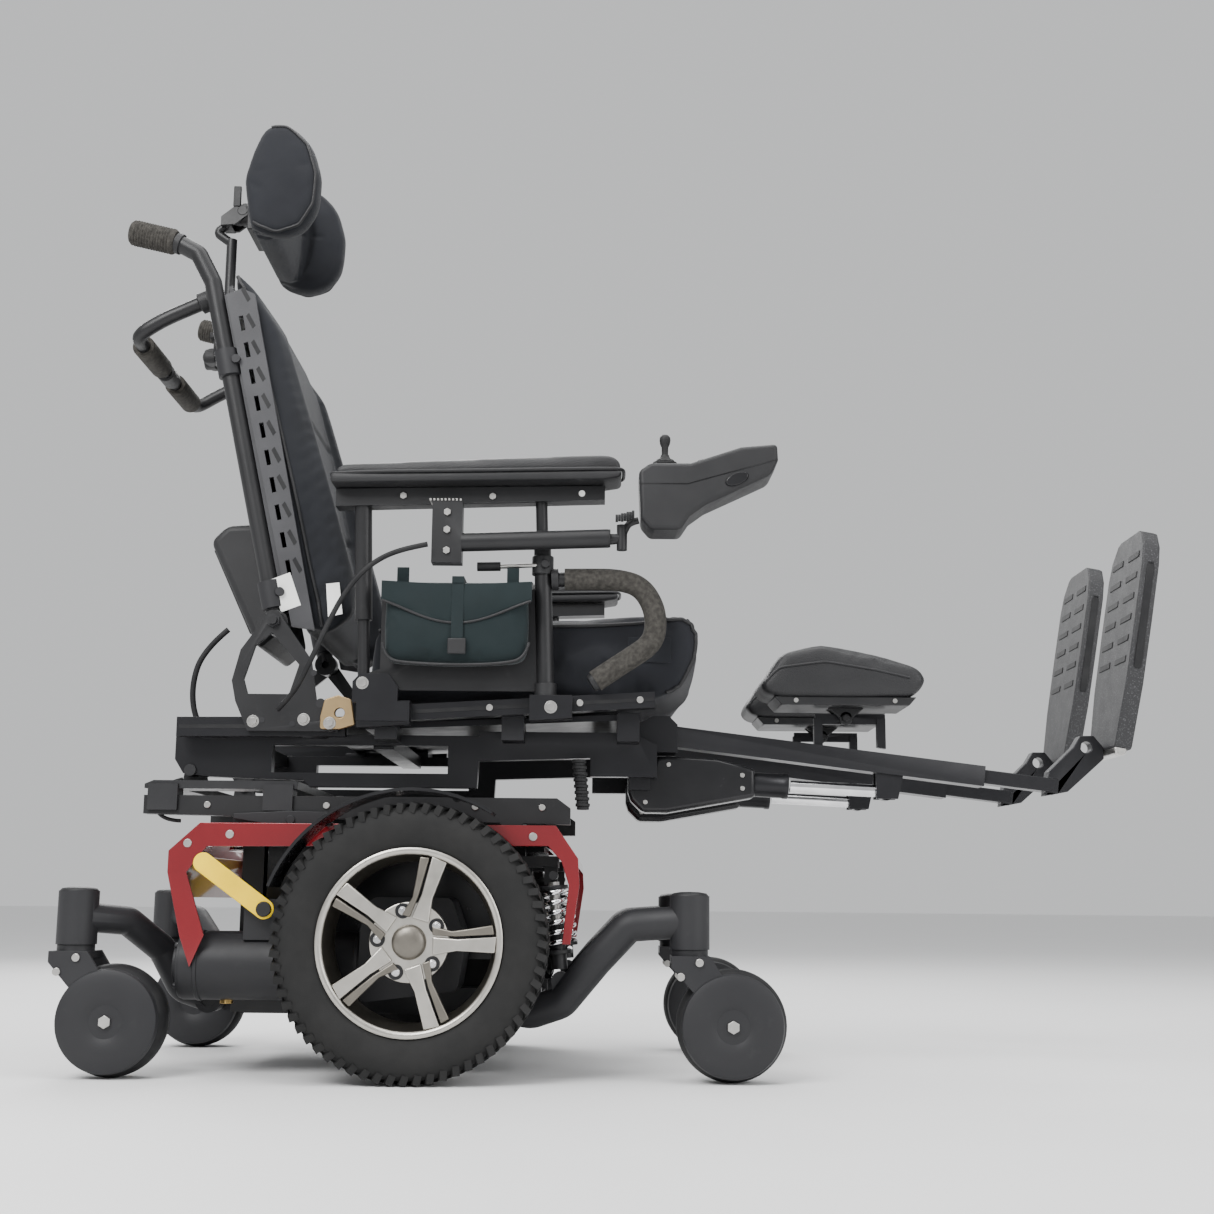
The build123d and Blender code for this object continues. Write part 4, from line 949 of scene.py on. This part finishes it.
def buildSideBag():
    s = sideBag
    body = "armrest_right"
    mesh = bmesh.new()
    prism(mesh,
          [(s["rear"] + 0.004, 0.545), (s["rear"] + 0.012, 0.535), (-0.22, 0.532),
           (s["front"] - 0.012, 0.536), (s["front"] - 0.004, 0.548), (s["front"] - 0.005, 0.642),
           (s["rear"] + 0.004, 0.642)], s["outer"], s["inner"])
    bevelled(mesh, 0.009, 3)
    padPiece("side_bag_body", mesh, "bagCloth", body, ["side_bag"], 0.35, voxel=0.0045, cap=0.005,
             hold=lambda p: p.y > -0.272)
    flap = bmesh.new()
    columns = 28
    rows = 8
    grid = []
    for column in range(columns + 1):
        share = column / columns
        x = s["rear"] - 0.001 + share * (s["front"] - s["rear"] + 0.002)
        depth = 0.030 + 0.030 * sin(pi * share) ** 1.2
        line = [flap.verts.new((x, s["inner"] - 0.004, 0.6465))]
        for row in range(1, rows + 1):
            fall = row / rows
            line.append(flap.verts.new((x,
                                        s["outer"] - 0.0045 - 0.0025 * sin(pi * fall) * sin(pi * share)
                                        + 0.001 * sin(9 * share), 0.6465 - depth * fall)))
        grid.append(line)
    for first, second in zip(grid, grid[1:]):
        for row in range(rows):
            flap.faces.new((first[row], first[row + 1], second[row + 1], second[row]))
    bmesh.ops.recalc_face_normals(flap, faces=flap.faces)
    bmesh.ops.solidify(flap, geom=flap.faces[:], thickness=0.0018)
    settle(flap)
    piece("side_bag_flap", flap, "bagCloth", body, smooth=50)
    edge = [(s["rear"] + share / 12 * (s["front"] - s["rear"]), s["outer"] - 0.0055,
             0.6465 - (0.030 + 0.030 * sin(pi * share / 12) ** 1.2))
            for share in range(13)]
    pipe("side_bag_flap_binding", edge, 0.0018, "vinyl", body)
    bottom = [(s["rear"] + 0.002, s["outer"] - 0.002, 0.560),
              (s["rear"] + 0.006, s["outer"] - 0.003, 0.538),
              (s["rear"] + 0.04, s["outer"] - 0.004, 0.533), (-0.22, s["outer"] - 0.005, 0.531),
              (s["front"] - 0.04, s["outer"] - 0.004, 0.533),
              (s["front"] - 0.006, s["outer"] - 0.003, 0.540),
              (s["front"] - 0.002, s["outer"] - 0.002, 0.562)]
    pipe("side_bag_piping", bottom, 0.0022, "vinyl", body)
    strap = bmesh.new()
    box(strap, (-0.229, s["outer"] - 0.0085, 0.548), (-0.213, s["outer"] - 0.0066, 0.640))
    box(strap, (-0.229, s["outer"] - 0.0085, 0.638), (-0.213, s["inner"] + 0.002, 0.6485))
    for x in (-0.296, -0.150):
        box(strap, (x - 0.008, s["outer"] + 0.012, 0.640), (x + 0.008, s["outer"] + 0.014, 0.664))
    piece("side_bag_straps", strap, "bagCloth", body, bevel=0.0006)
    buckle = bmesh.new()
    box(buckle, (-0.233, s["outer"] - 0.0105, 0.545), (-0.209, s["outer"] - 0.0062, 0.566))
    piece("side_bag_buckle", buckle, "plastic", body, bevel=0.0018, segments=3)
    print("side bag")


# painted shroud and base details
def buildBase():
    mesh = merged("red_shroud")
    piece("red_shroud_finish", mesh, "red", "root", ["red_shroud"], smooth=40, bevel=0.003, segments=4)
    trim = bmesh.new()
    lever = bmesh.new()
    for side in sides.values():
        y = side * 0.190
        for x, radius, depth in ((-0.583, 0.0435, 0.006), (-0.589, 0.030, 0.008)):
            drum(trim, (x, y, 0.141), radius, depth, "X", 48)
        for x in (-0.560, -0.420, -0.350):
            drum(trim, (x, y, 0.141), 0.0462, 0.006, "X", 64)
        for turn in range(4):
            drum(trim,
                 (-0.588, y + 0.036 * cos(pi / 4 + turn * pi / 2),
                  0.141 + 0.036 * sin(pi / 4 + turn * pi / 2)), 0.0035, 0.006, "X", 12)
        drum(lever, (-0.470, side * 0.2465, 0.215), 0.010, 0.005, "Y", 28)
    piece("motor_trim", trim, "softBlack", "root", bevel=0.001)
    piece("lever_stubs", lever, "plastic", "root", bevel=0.001)
    plugs = bmesh.new()
    for side in sides.values():
        drum(plugs, (-0.525, side * 0.190, 0.0945), 0.009, 0.006, "Z", 6)
    piece("motor_plugs", plugs, "brass", "root", bevel=0.0006)
    screws = bmesh.new()
    for side in (-1, 1):
        for x, z in ((-0.575, 0.300), (-0.520, 0.312), (-0.300, 0.312), (-0.120, 0.312)):
            drum(screws, (x, side * 0.2408, z), 0.0055, 0.0025, "Y", 24)
        for x in (-0.630, -0.560, -0.400, -0.300, -0.200, -0.110):
            drum(screws, (x, side * 0.2052, 0.3525), 0.0045, 0.003, "Y", 20)
    piece("base_screws", screws, "steel", "root", bevel=0.0005)
    links = bmesh.new()
    for side in sides.values():
        prism(links,
              [(-0.523, 0.334), (-0.446, 0.322), (-0.396, 0.322), (-0.388, 0.333), (-0.396, 0.344),
               (-0.446, 0.345), (-0.523, 0.341)], *between(side, 0.2065, 0.2125))
        for x in (-0.446, -0.401):
            drum(links, (x, side * 0.2125, 0.333), 0.0062, 0.005, "Y", 24)
    settle(links)
    piece("tilt_links", links, "softBlack", "root", bevel=0.001)
    top = bmesh.new()
    box(top, (-0.538, -0.205, 0.3195), (-0.112, 0.205, 0.3285))
    piece("battery_lid", top, "gloss", "root", bevel=0.004, segments=4)
    print("base: shroud, motors and screws")


def buildShocks():
    spring = {"top": (-0.093, 0.262), "foot": (-0.082, 0.126), "y": 0.216, "wire": 0.0036, "coil": 0.0152,
              "turns": 6}
    tall = hypot(spring["top"][0] - spring["foot"][0], spring["top"][1] - spring["foot"][1])
    lean = ((spring["top"][0] - spring["foot"][0]) / tall, (spring["top"][1] - spring["foot"][1]) / tall)
    for name, side in sides.items():
        def spot(up, radius=0.0, turn=0.0):
            ahead = radius * cos(turn)
            return (spring["foot"][0] + lean[0] * up + lean[1] * ahead,
                    side * spring["y"] + radius * sin(turn),
                    spring["foot"][1] + lean[1] * up - lean[0] * ahead)
        coil = [spot(0.040 + 0.078 * step / (spring["turns"] * 12), spring["coil"], 2 * pi * step / 12)
                for step in range(spring["turns"] * 12 + 1)]
        pipe(f"shock_coil_{name}", coil, spring["wire"], "chrome", "root",
             replaced=["shock_absorbers"] if side < 0 else ())
        pipe(f"shock_rod_{name}", [spot(0.034), spot(0.060), spot(0.090), spot(0.128)], 0.0070, "steel",
             "root")
        pipe(f"shock_body_{name}", [spot(0.015), spot(0.030), spot(0.055), spot(0.078)], 0.0108, "black",
             "root")
        seats = bmesh.new()
        for up in (0.037, 0.121):
            turnTo = Vector((lean[0], 0, lean[1])).to_track_quat("Z", "Y").to_matrix().to_4x4()
            bmesh.ops.create_cone(seats, cap_ends=True, segments=40, radius1=0.0185, radius2=0.0185,
                                  depth=0.005, matrix=Matrix.Translation(spot(up)) @ turnTo)
        piece(f"shock_seats_{name}", seats, "black", "root", bevel=0.001)
    print("shock absorbers")


# seat hardware
def buildSeatHardware():
    slots = bmesh.new()
    bolts = bmesh.new()
    for side in sides.values():
        for z0, z1, x0, x1, y in ((0.4705, 0.4945, -0.354, 0.038, 0.2545),
                                  (0.456, 0.458, -0.600, -0.380, 0.2223)):
            outline = [(x0, z0 - 0.0026), (x1, z1 - 0.0026), (x1, z1 + 0.0026), (x0, z0 + 0.0026)]
            prism(slots, outline, *between(side, (y - 0.001), y))
        for x, z, y in ((-0.431, 0.466, 0.2305), (-0.499, 0.463, 0.2305), (-0.394, 0.460, 0.2430),
                        (-0.330, 0.470, 0.2715), (-0.300, 0.472, 0.2715), (-0.098, 0.480, 0.2785),
                        (-0.347, 0.510, 0.2770)):
            drum(bolts, (x, side * y, z), 0.0058, 0.0045, "Y", 6)
            drum(bolts, (x, side * (y - 0.0018), z), 0.0085, 0.0018, "Y", 28)
        for x in (-0.180, -0.060, 0.020):
            drum(bolts, (x, side * 0.2550, 0.4705 + 0.0609 * (x + 0.354)), 0.0045, 0.003, "Y", 24)
    settle(slots)
    # painted shade: thin dark strips stand in for the shaded grooves along the rails
    piece("rail_slots", slots, "rubber", "seat")
    piece("seat_bolts", bolts, "steel", "seat", bevel=0.0005)
    holes = bmesh.new()
    for side in sides.values():
        for x, z, r in ((-0.487, 0.465, 0.004), (-0.420, 0.529, 0.0042), (-0.446, 0.460, 0.004),
                        (-0.409, 0.488, 0.0065)):
            drum(holes, (x, side * 0.2296, z), r, 0.0008, "Y", 24)
        drum(holes, (-0.477, side * 0.2315, 0.600), 0.0095, 0.0045, "Y", 6)
    piece("quadrant_bolts", holes, "softBlack", "seat")
    conduit = bmesh.new()
    for index in range(16):
        drum(conduit, (-0.055 - 0.0004 * index, -0.205, 0.352 + index * 0.0042),
             0.0098 if index % 2 else 0.0082, 0.0042, "Z", 24)
    piece("cable_conduit", conduit, "rubber", "seat", bevel=0.0006)
    print("seat hardware")


# back hardware: grips, push bar, rear box
def along(start, end, profile, mesh, steps=40):
    start = Vector(start)
    line = Vector(end) - start
    part = bmesh.new()
    turned(part, profile, (0, 0, 0), "Z", steps)
    settle(part)
    bmesh.ops.transform(part,
                        matrix=Matrix.Translation(start)
                        @ line.to_track_quat("Z", "Y").to_matrix().to_4x4(), verts=part.verts)
    join(mesh, part)


def buildBackHardware():
    for name, side in sides.items():
        y = side * 0.205
        grip = bmesh.new()
        profile = [(0.0001, 0.0), (0.0160, 0.0), (0.0182, 0.003)]
        for ring in range(14):
            profile += [(0.0186, 0.006 + ring * 0.0040), (0.0172, 0.0080 + ring * 0.0040)]
        profile += [(0.0180, 0.0625), (0.0150, 0.0660), (0.0001, 0.0665)]
        along((-0.645, y, 1.1508), (-0.706, y, 1.165), profile, grip)
        piece(f"push_grip_{name}_foam", grip, "foam", "back", ["push_grips"] if side < 0 else (), smooth=30)
        collar = bmesh.new()
        along((-0.6360, y, 1.1470), (-0.650, y, 1.1525),
              [(0.0125, 0), (0.0150, 0.001), (0.0150, 0.009), (0.0125, 0.010), (0.0125, 0)], collar)
        piece(f"push_grip_{name}_collar", collar, "plastic", "back", smooth=30)
        clamps = bmesh.new()
        for up in (0.040, 0.380):
            low = backSpot(up - 0.020, 0, y)
            high = backSpot(up + 0.020, 0, y)
            along(low, high,
                  [(0.0125, 0), (0.0165, 0.001), (0.0168, 0.039), (0.0125, 0.040), (0.0125, 0)], clamps)
            spot = backSpot(up, 0.014, y + side * 0.004)
            drum(clamps, spot, 0.006, 0.026, "Y", 20)
        piece(f"cane_clamps_{name}", clamps, "softBlack", "back", smooth=35)
        # painted shade: thin dark sheets stand in for the shaded slots in the back side plates
        slots = bmesh.new()
        for step in range(11):
            up = 0.060 + step * 0.040
            corners = [backSpot(up, 0.044), backSpot(up + 0.020, 0.038), backSpot(up + 0.024, 0.043),
                       backSpot(up + 0.004, 0.049)]
            prism(slots, [tuple(c.xz) for c in corners], *between(side, 0.2158, 0.2163))
        settle(slots)
        piece(f"back_plate_slots_{name}", slots, "rubber", "back")
    rear = merged("rear_box")
    piece("rear_box_cover", rear, "plastic", "back", ["rear_box"], bevel=0.010, segments=4)
    lid = bmesh.new()
    corners = [backSpot(0.020, -0.058), backSpot(0.150, -0.087), backSpot(0.151, -0.0895),
               backSpot(0.019, -0.0605)]
    prism(lid, [tuple(c.xz) for c in corners], -0.085, 0.085)
    settle(lid)
    piece("rear_box_panel", lid, "plastic", "back", bevel=0.0008)
    bar = [(-0.602, -0.178, 1.074), (-0.630, -0.178, 1.061), (-0.666, -0.178, 1.044),
           (-0.700, -0.176, 1.022), (-0.7025, -0.150, 1.018), (-0.7022, -0.060, 1.018),
           (-0.7022, 0.060, 1.018), (-0.7025, 0.150, 1.018), (-0.700, 0.176, 1.022),
           (-0.666, 0.178, 1.044), (-0.630, 0.178, 1.061), (-0.602, 0.178, 1.074)]
    pipe("push_bar_tube", bar, 0.0102, "black", "back", replaced=["stroller_bar"])
    foamParts = bmesh.new()
    for side in (-1, 1):
        profile = [(0.0102, 0.0), (0.0150, 0.0), (0.0162, 0.002), (0.0162, 0.098), (0.0150, 0.100),
                   (0.0102, 0.100), (0.0102, 0.0)]
        along((-0.7022, side * 0.040, 1.018), (-0.7022, side * 0.140, 1.018), profile, foamParts)
    piece("push_bar_foam", foamParts, "foam", "back", smooth=35)
    joints = bmesh.new()
    for side in (-1, 1):
        along((-0.596, side * 0.178, 1.076), (-0.614, side * 0.178, 1.068),
              [(0.0001, 0), (0.0145, 0.0), (0.0150, 0.002), (0.0150, 0.018), (0.0102, 0.020),
               (0.0001, 0.020)], joints)
        drum(joints, (-0.592, side * 0.187, 1.0745), 0.0095, 0.014, "Y", 28)
    along((-0.7022, -0.020, 1.018), (-0.7022, 0.020, 1.018),
          [(0.0102, 0), (0.0140, 0.001), (0.0140, 0.039), (0.0102, 0.040), (0.0102, 0)], joints)
    piece("push_bar_joints", joints, "plastic", "back", smooth=35)
    print("back hardware")


# transfer handle
def buildHandle():
    y = -0.262
    bare = [(-0.098, y, 0.653), (-0.092, y, 0.6535), (-0.080, y, 0.654), (-0.060, y, 0.654)]
    pipe("transfer_handle_tube", bare, 0.0100, "black", "armrest_right")
    route = [(-0.082, y, 0.6540), (-0.050, y, 0.6545), (-0.012, y, 0.6545), (0.020, y, 0.646),
             (0.038, y, 0.618), (0.041, y, 0.588), (0.034, y, 0.567), (0.010, y, 0.550),
             (-0.016, y, 0.533), (-0.040, y, 0.5165)]
    pipe("transfer_handle_foam", route, 0.0148, "foam", "armrest_right", replaced=["transfer_handle"])
    ends = bmesh.new()
    along((-0.0385, y, 0.5175), (-0.0480, y, 0.5115),
          [(0.0001, 0.009), (0.0110, 0.0085), (0.0125, 0.006), (0.0125, 0.0), (0.0001, 0.0)], ends)
    along((-0.100, y, 0.6535), (-0.086, y, 0.654),
          [(0.0100, 0), (0.0145, 0.0005), (0.0145, 0.0095), (0.0100, 0.010), (0.0100, 0)], ends)
    piece("transfer_handle_ends", ends, "plastic", "armrest_right", smooth=35)
    pipe("release_lever_rod",
         [(-0.112, -0.271, 0.672), (-0.140, -0.272, 0.670), (-0.160, -0.272, 0.669),
          (-0.190, -0.272, 0.6685)], 0.0030, "steel", "armrest_right")
    pipe("release_lever_grip",
         [(-0.168, -0.272, 0.669), (-0.178, -0.272, 0.6688), (-0.190, -0.272, 0.6685),
          (-0.199, -0.272, 0.6684)], 0.0062, "rubber", "armrest_right")
    clamp = bmesh.new()
    for z in (0.500, 0.672):
        drum(clamp, (-0.106 - 0.035 * (z - 0.510), y, z), 0.0145, 0.026, "Z", 36)
    drum(clamp, (-0.108, -0.277, 0.672), 0.006, 0.010, "Y", 24)
    piece("front_post_clamps", clamp, "plastic", "armrest_right", bevel=0.0015)
    left = bmesh.new()
    drum(left, (-0.106, 0.262, 0.500), 0.0145, 0.026, "Z", 36)
    piece("front_post_clamp_left", left, "plastic", "armrest_left", bevel=0.0015)
    print("transfer handle")


# joystick
joystick = {"y": -0.290, "half": 0.034, "stick": 0.051}


def buildJoystick():
    j = joystick
    y = j["y"]
    shell = bmesh.new()
    outline = [(0.0155, 0.790), (0.0185, 0.725), (0.031, 0.7105), (0.071, 0.7105), (0.083, 0.729),
               (0.104, 0.7445), (0.190, 0.7855), (0.200, 0.806), (0.199, 0.828), (0.151, 0.8235),
               (0.084, 0.801), (0.031, 0.801)]
    prism(shell, outline, y - j["half"], y + j["half"])
    settle(shell)
    piece("joystick_shell", shell, "plastic", "joystick", ["joystick_box"], bevel=0.0055, segments=5,
          smooth=45)
    pieces = bmesh.new()
    box(pieces, (0.028, y - 0.0352, 0.7385), (0.184, y + 0.0352, 0.7400))
    for x0, z0, x1, z1 in ((0.018, 0.772, 0.080, 0.772), (0.080, 0.772, 0.198, 0.806)):
        prism(pieces, [(x0, z0 - 0.0007), (x1, z1 - 0.0007), (x1, z1 + 0.0007), (x0, z0 + 0.0007)],
              y - j["half"] - 0.0004, y + j["half"] + 0.0004)
    bmesh.ops.delete(pieces,
                     geom=[v for v in pieces.verts if v.co.z < 0.745 and v.co.x > 0.02 and v.co.x < 0.19],
                     context="VERTS")
    settle(pieces)
    piece("joystick_seam", pieces, "rubber", "joystick")
    # the control panel slopes up towards the user
    slope = atan2(0.0225, 0.067)
    panel = Matrix.Translation((0.1175, y, 0.8125)) @ Matrix.Rotation(-slope, 4, "Y")
    screen = bmesh.new()
    bmesh.ops.create_cube(screen, size=1,
                          matrix=panel @ Matrix.Translation((0.008, 0, 0.0004))
                          @ Matrix.Diagonal((0.034, 0.044, 0.0022, 1)))
    piece("joystick_screen", screen, "gloss", "joystick", bevel=0.0008, segments=3)
    keys = bmesh.new()
    for column in (-0.021, -0.007, 0.007, 0.021):
        bmesh.ops.create_cone(keys, cap_ends=True, segments=24, radius1=0.0046, radius2=0.0040,
                              depth=0.0030, matrix=panel @ Matrix.Translation((-0.0205, column, 0.0008)))
    piece("joystick_keys", keys, "paleGrey", "joystick", bevel=0.0006)
    port = bmesh.new()
    seat = Matrix.Translation((0.145, y - j["half"] - 0.001, 0.779)) @ Matrix.Rotation(-0.42, 4, "Y")
    bmesh.ops.create_cone(port, cap_ends=True, segments=40, radius1=0.0085, radius2=0.0075, depth=0.003,
                          matrix=seat @ Matrix.Diagonal((2.0, 1, 1, 1)) @ Matrix.Rotation(pi / 2, 4, "X"))
    piece("joystick_port", port, "gloss", "joystick", bevel=0.0006)
    boot = [(0.0200, 0.0000), (0.0205, 0.0016), (0.0185, 0.0030), (0.0190, 0.0046), (0.0160, 0.0060),
            (0.0162, 0.0076), (0.0125, 0.0092), (0.0122, 0.0110), (0.0080, 0.0130), (0.0062, 0.0160),
            (0.0055, 0.0185), (0.0030, 0.0186)]
    stick = j["stick"]
    made = spun("joystick_boot", boot, (stick, y, 0.8012), "rubber", None, axis="Z", steps=48, smooth=60)
    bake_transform(made)
    knob = [(0.0001, 0.0478), (0.0045, 0.0472), (0.0072, 0.0440), (0.0076, 0.0400), (0.0066, 0.0350),
            (0.0046, 0.0300), (0.0042, 0.0170), (0.0001, 0.0165)]
    spun("joystick_knob", knob, (stick, y, 0.800), "rubber", "joystick_lever", ["joystick_stick"], "Z",
         40, 60)
    ring = [(0.0205, 0.0), (0.0235, 0.0), (0.0240, 0.0012), (0.0228, 0.0024), (0.0205, 0.0026),
            (0.0205, 0.0)]
    spun("joystick_boot_ring", ring, (stick, y, 0.8005), "plastic", "joystick", axis="Z", steps=56,
         smooth=40)
    relief = bmesh.new()
    for index in range(7):
        drum(relief, (0.0085 - index * 0.0036, -0.3085, 0.7315 - index * 0.0006),
             0.0072 - index * 0.00035 - (0.0008 if index % 2 else 0), 0.0034, "X", 24)
    piece("joystick_strain_relief", relief, "rubber", "joystick", bevel=0.0004)
    rod = [(-0.024, -0.293, 0.700), (-0.014, -0.293, 0.7005), (-0.006, -0.293, 0.704),
           (-0.002, -0.293, 0.716), (0.004, -0.293, 0.726), (0.016, -0.293, 0.729)]
    pipe("joystick_link", rod, 0.0048, "black", "armrest_top_right")
    teeth = bmesh.new()
    for index in range(9):
        box(teeth, (-0.262 + index * 0.0050, -0.3035, 0.7515), (-0.2595 + index * 0.0050, -0.2765, 0.7545))
    for z in (0.684, 0.712, 0.736):
        drum(teeth, (-0.238, -0.3030, z), 0.0050, 0.004, "Y", 6)
    piece("joystick_clamp_teeth", teeth, "steel", "armrest_top_right", bevel=0.0004)
    plug = bmesh.new()
    drum(plug, (-0.0232, -0.293, 0.7040), 0.0122, 0.004, "X", 36)
    piece("joystick_tube_plug", plug, "plastic", "armrest_top_right", bevel=0.001)
    print("joystick")


def buildCable():
    # the lead is clipped to the armrest's rear post and runs down into the seat frame
    route = [(-0.262, -0.312, 0.690), (-0.292, -0.312, 0.684), (-0.322, -0.312, 0.672),
             (-0.348, -0.312, 0.652), (-0.370, -0.312, 0.622), (-0.388, -0.312, 0.586),
             (-0.402, -0.312, 0.552), (-0.413, -0.311, 0.528), (-0.425, -0.300, 0.507),
             (-0.440, -0.281, 0.491), (-0.460, -0.258, 0.476)]
    pipe("joystick_lead", route, 0.0035, "rubber", "seat", replaced=["joystick_cable"])
    print("cable")


# leg rests: lifts and footplates
def buildLegs():
    for name, side in sides.items():
        y = side * legY
        body = bmesh.new()
        outline = [(0.006, 0.378), (0.010, 0.366), (0.026, 0.350), (0.060, 0.350), (0.182, 0.372),
                   (0.182, 0.411), (0.130, 0.424), (0.060, 0.428), (0.044, 0.426), (0.040, 0.411),
                   (0.006, 0.411)]
        prism(body, outline, y - 0.023, y + 0.023)
        settle(body)
        piece(f"actuator_housing_{name}", body, "gloss", f"actuator_{name}", [f"leg_actuator_{name}"],
              bevel=0.006, segments=5, smooth=45)
        tube = bmesh.new()
        along((0.176, y, 0.3913), (0.229, y, 0.3890),
              [(0.0150, 0), (0.0178, 0.0), (0.0178, 0.004), (0.0170, 0.005), (0.0170, 0.044),
               (0.0180, 0.046), (0.0180, 0.052), (0.0172, 0.053), (0.0150, 0.053), (0.0150, 0)], tube)
        piece(f"actuator_tube_{name}", tube, "anodised", f"actuator_{name}", smooth=35)
        marks = bmesh.new()
        for x, z in ((0.030, 0.364), (0.164, 0.384), (0.164, 0.402), (0.062, 0.416)):
            drum(marks, (x, y - 0.0232, z), 0.0032, 0.002, "Y", 20)
            drum(marks, (x, y + 0.0232, z), 0.0032, 0.002, "Y", 20)
        piece(f"actuator_screws_{name}", marks, "steel", f"actuator_{name}", bevel=0.0004)
        pipe(f"actuator_rod_{name}",
             [(0.232, y, 0.3888), (0.270, y, 0.3872), (0.310, y, 0.3854), (0.350, y, 0.3836)], 0.0087,
             "chrome", f"leg_{name}")
        buildFootplate(name, side)
    print("leg rests")


def buildFootplate(name, side):
    lean = radians(10)
    origin = Vector((0.668, side * legY, 0.442))
    upright = Vector((sin(lean), 0, cos(lean)))
    out = Vector((cos(lean), 0, -sin(lean)))
    across = Vector((0, 1, 0))

    def spot(wide, up, deep):
        return origin + across * wide + upright * up + out * deep

    plate = bmesh.new()
    outline = [(-0.062, 0.004), (-0.058, 0), (0.058, 0), (0.062, 0.004), (0.076, 0.090), (0.0785, 0.180),
               (0.078, 0.258), (0.071, 0.286), (0.052, 0.308), (0.040, 0.312), (-0.040, 0.312),
               (-0.052, 0.308), (-0.071, 0.286), (-0.078, 0.258), (-0.0785, 0.180), (-0.076, 0.090)]
    back = [plate.verts.new(spot(wide, up, 0)) for wide, up in outline]
    thicken(plate, plate.faces.new(back), out * 0.024)
    settle(plate)
    piece(f"footplate_{name}_board", plate, "foot", f"foot_{name}", [f"footplate_{name}"], bevel=0.0045,
          segments=4, smooth=45)
    ribs = bmesh.new()
    for row in range(6):
        up = 0.120 + row * 0.030
        for left, right in ((-0.060, -0.012), (0.012, 0.060)):
            corners = [spot(left, up, -0.0012), spot(right, up, -0.0012),
                       spot(right, up + 0.009, -0.0012), spot(left, up + 0.009, -0.0012)]
            thicken(ribs, ribs.faces.new([ribs.verts.new(corner) for corner in corners]), out * 0.0024)
    for up in (0.030, 0.072):
        for wide in (-0.036, 0.036):
            turnTo = out.to_track_quat("Z", "Y").to_matrix().to_4x4()
            bmesh.ops.create_cone(ribs, cap_ends=True, segments=28, radius1=0.0075, radius2=0.0065,
                                  depth=0.004, matrix=Matrix.Translation(spot(wide, up, 0.0245)) @ turnTo)
    settle(ribs)
    piece(f"footplate_{name}_grips", ribs, "rubber", f"foot_{name}", bevel=0.0007)
    rim = bmesh.new()
    for wide, low, high in ((-0.0795, 0.110, 0.262), (0.0795, 0.110, 0.262)):
        inner = wide - 0.0025 * (1 if wide > 0 else -1)
        corners = [spot(inner, low, 0.007), spot(wide, low + 0.01, 0.007), spot(wide, high - 0.01, 0.007),
                   spot(inner, high, 0.007)]
        thicken(rim, rim.faces.new([rim.verts.new(corner) for corner in corners]), out * 0.010)
    settle(rim)
    piece(f"footplate_{name}_bumper", rim, "rubber", f"foot_{name}", bevel=0.0008)
    hinge = bmesh.new()
    along(spot(-0.058, -0.0015, 0.010), spot(0.058, -0.0015, 0.010),
          [(0.0001, 0), (0.0070, 0.0), (0.0082, 0.001), (0.0082, 0.115), (0.0070, 0.116),
           (0.0001, 0.116)], hinge)
    piece(f"footplate_{name}_pin", hinge, "steel", f"foot_{name}", smooth=35)


# labels and wires
def buildExtras():
    label = bmesh.new()
    corners = [backSpot(0.012, 0.010), backSpot(0.060, 0.005), backSpot(0.064, 0.032),
               backSpot(0.016, 0.038)]
    prism(label, [tuple(c.xz) for c in corners], -0.2166, -0.2161)
    settle(label)
    piece("blank_label", label, "white", "back")
    loop = [(-0.600, -0.185, 0.388), (-0.628, -0.187, 0.380), (-0.638, -0.188, 0.352),
            (-0.622, -0.186, 0.332), (-0.600, -0.184, 0.3315)]
    pipe("rear_wire", loop, 0.0026, "rubber", "carriage")
    hose = [(-0.556, -0.150, 0.600), (-0.590, -0.150, 0.570), (-0.604, -0.150, 0.520),
            (-0.596, -0.150, 0.470), (-0.578, -0.148, 0.448)]
    pipe("back_wire", hose, 0.0040, "rubber", "seat")
    print("labels and wires")


buildStage()
finishFrame()
buildDriveWheels()
buildCasters()
buildBase()
buildShocks()
buildSeatHardware()
buildBackHardware()
buildHandle()
buildJoystick()
buildCable()
buildLegs()
buildSeatCushion()
buildBackCushion()
buildHeadrest()
buildCalfPads()
buildArmPads()
buildSideBag()
buildExtras()
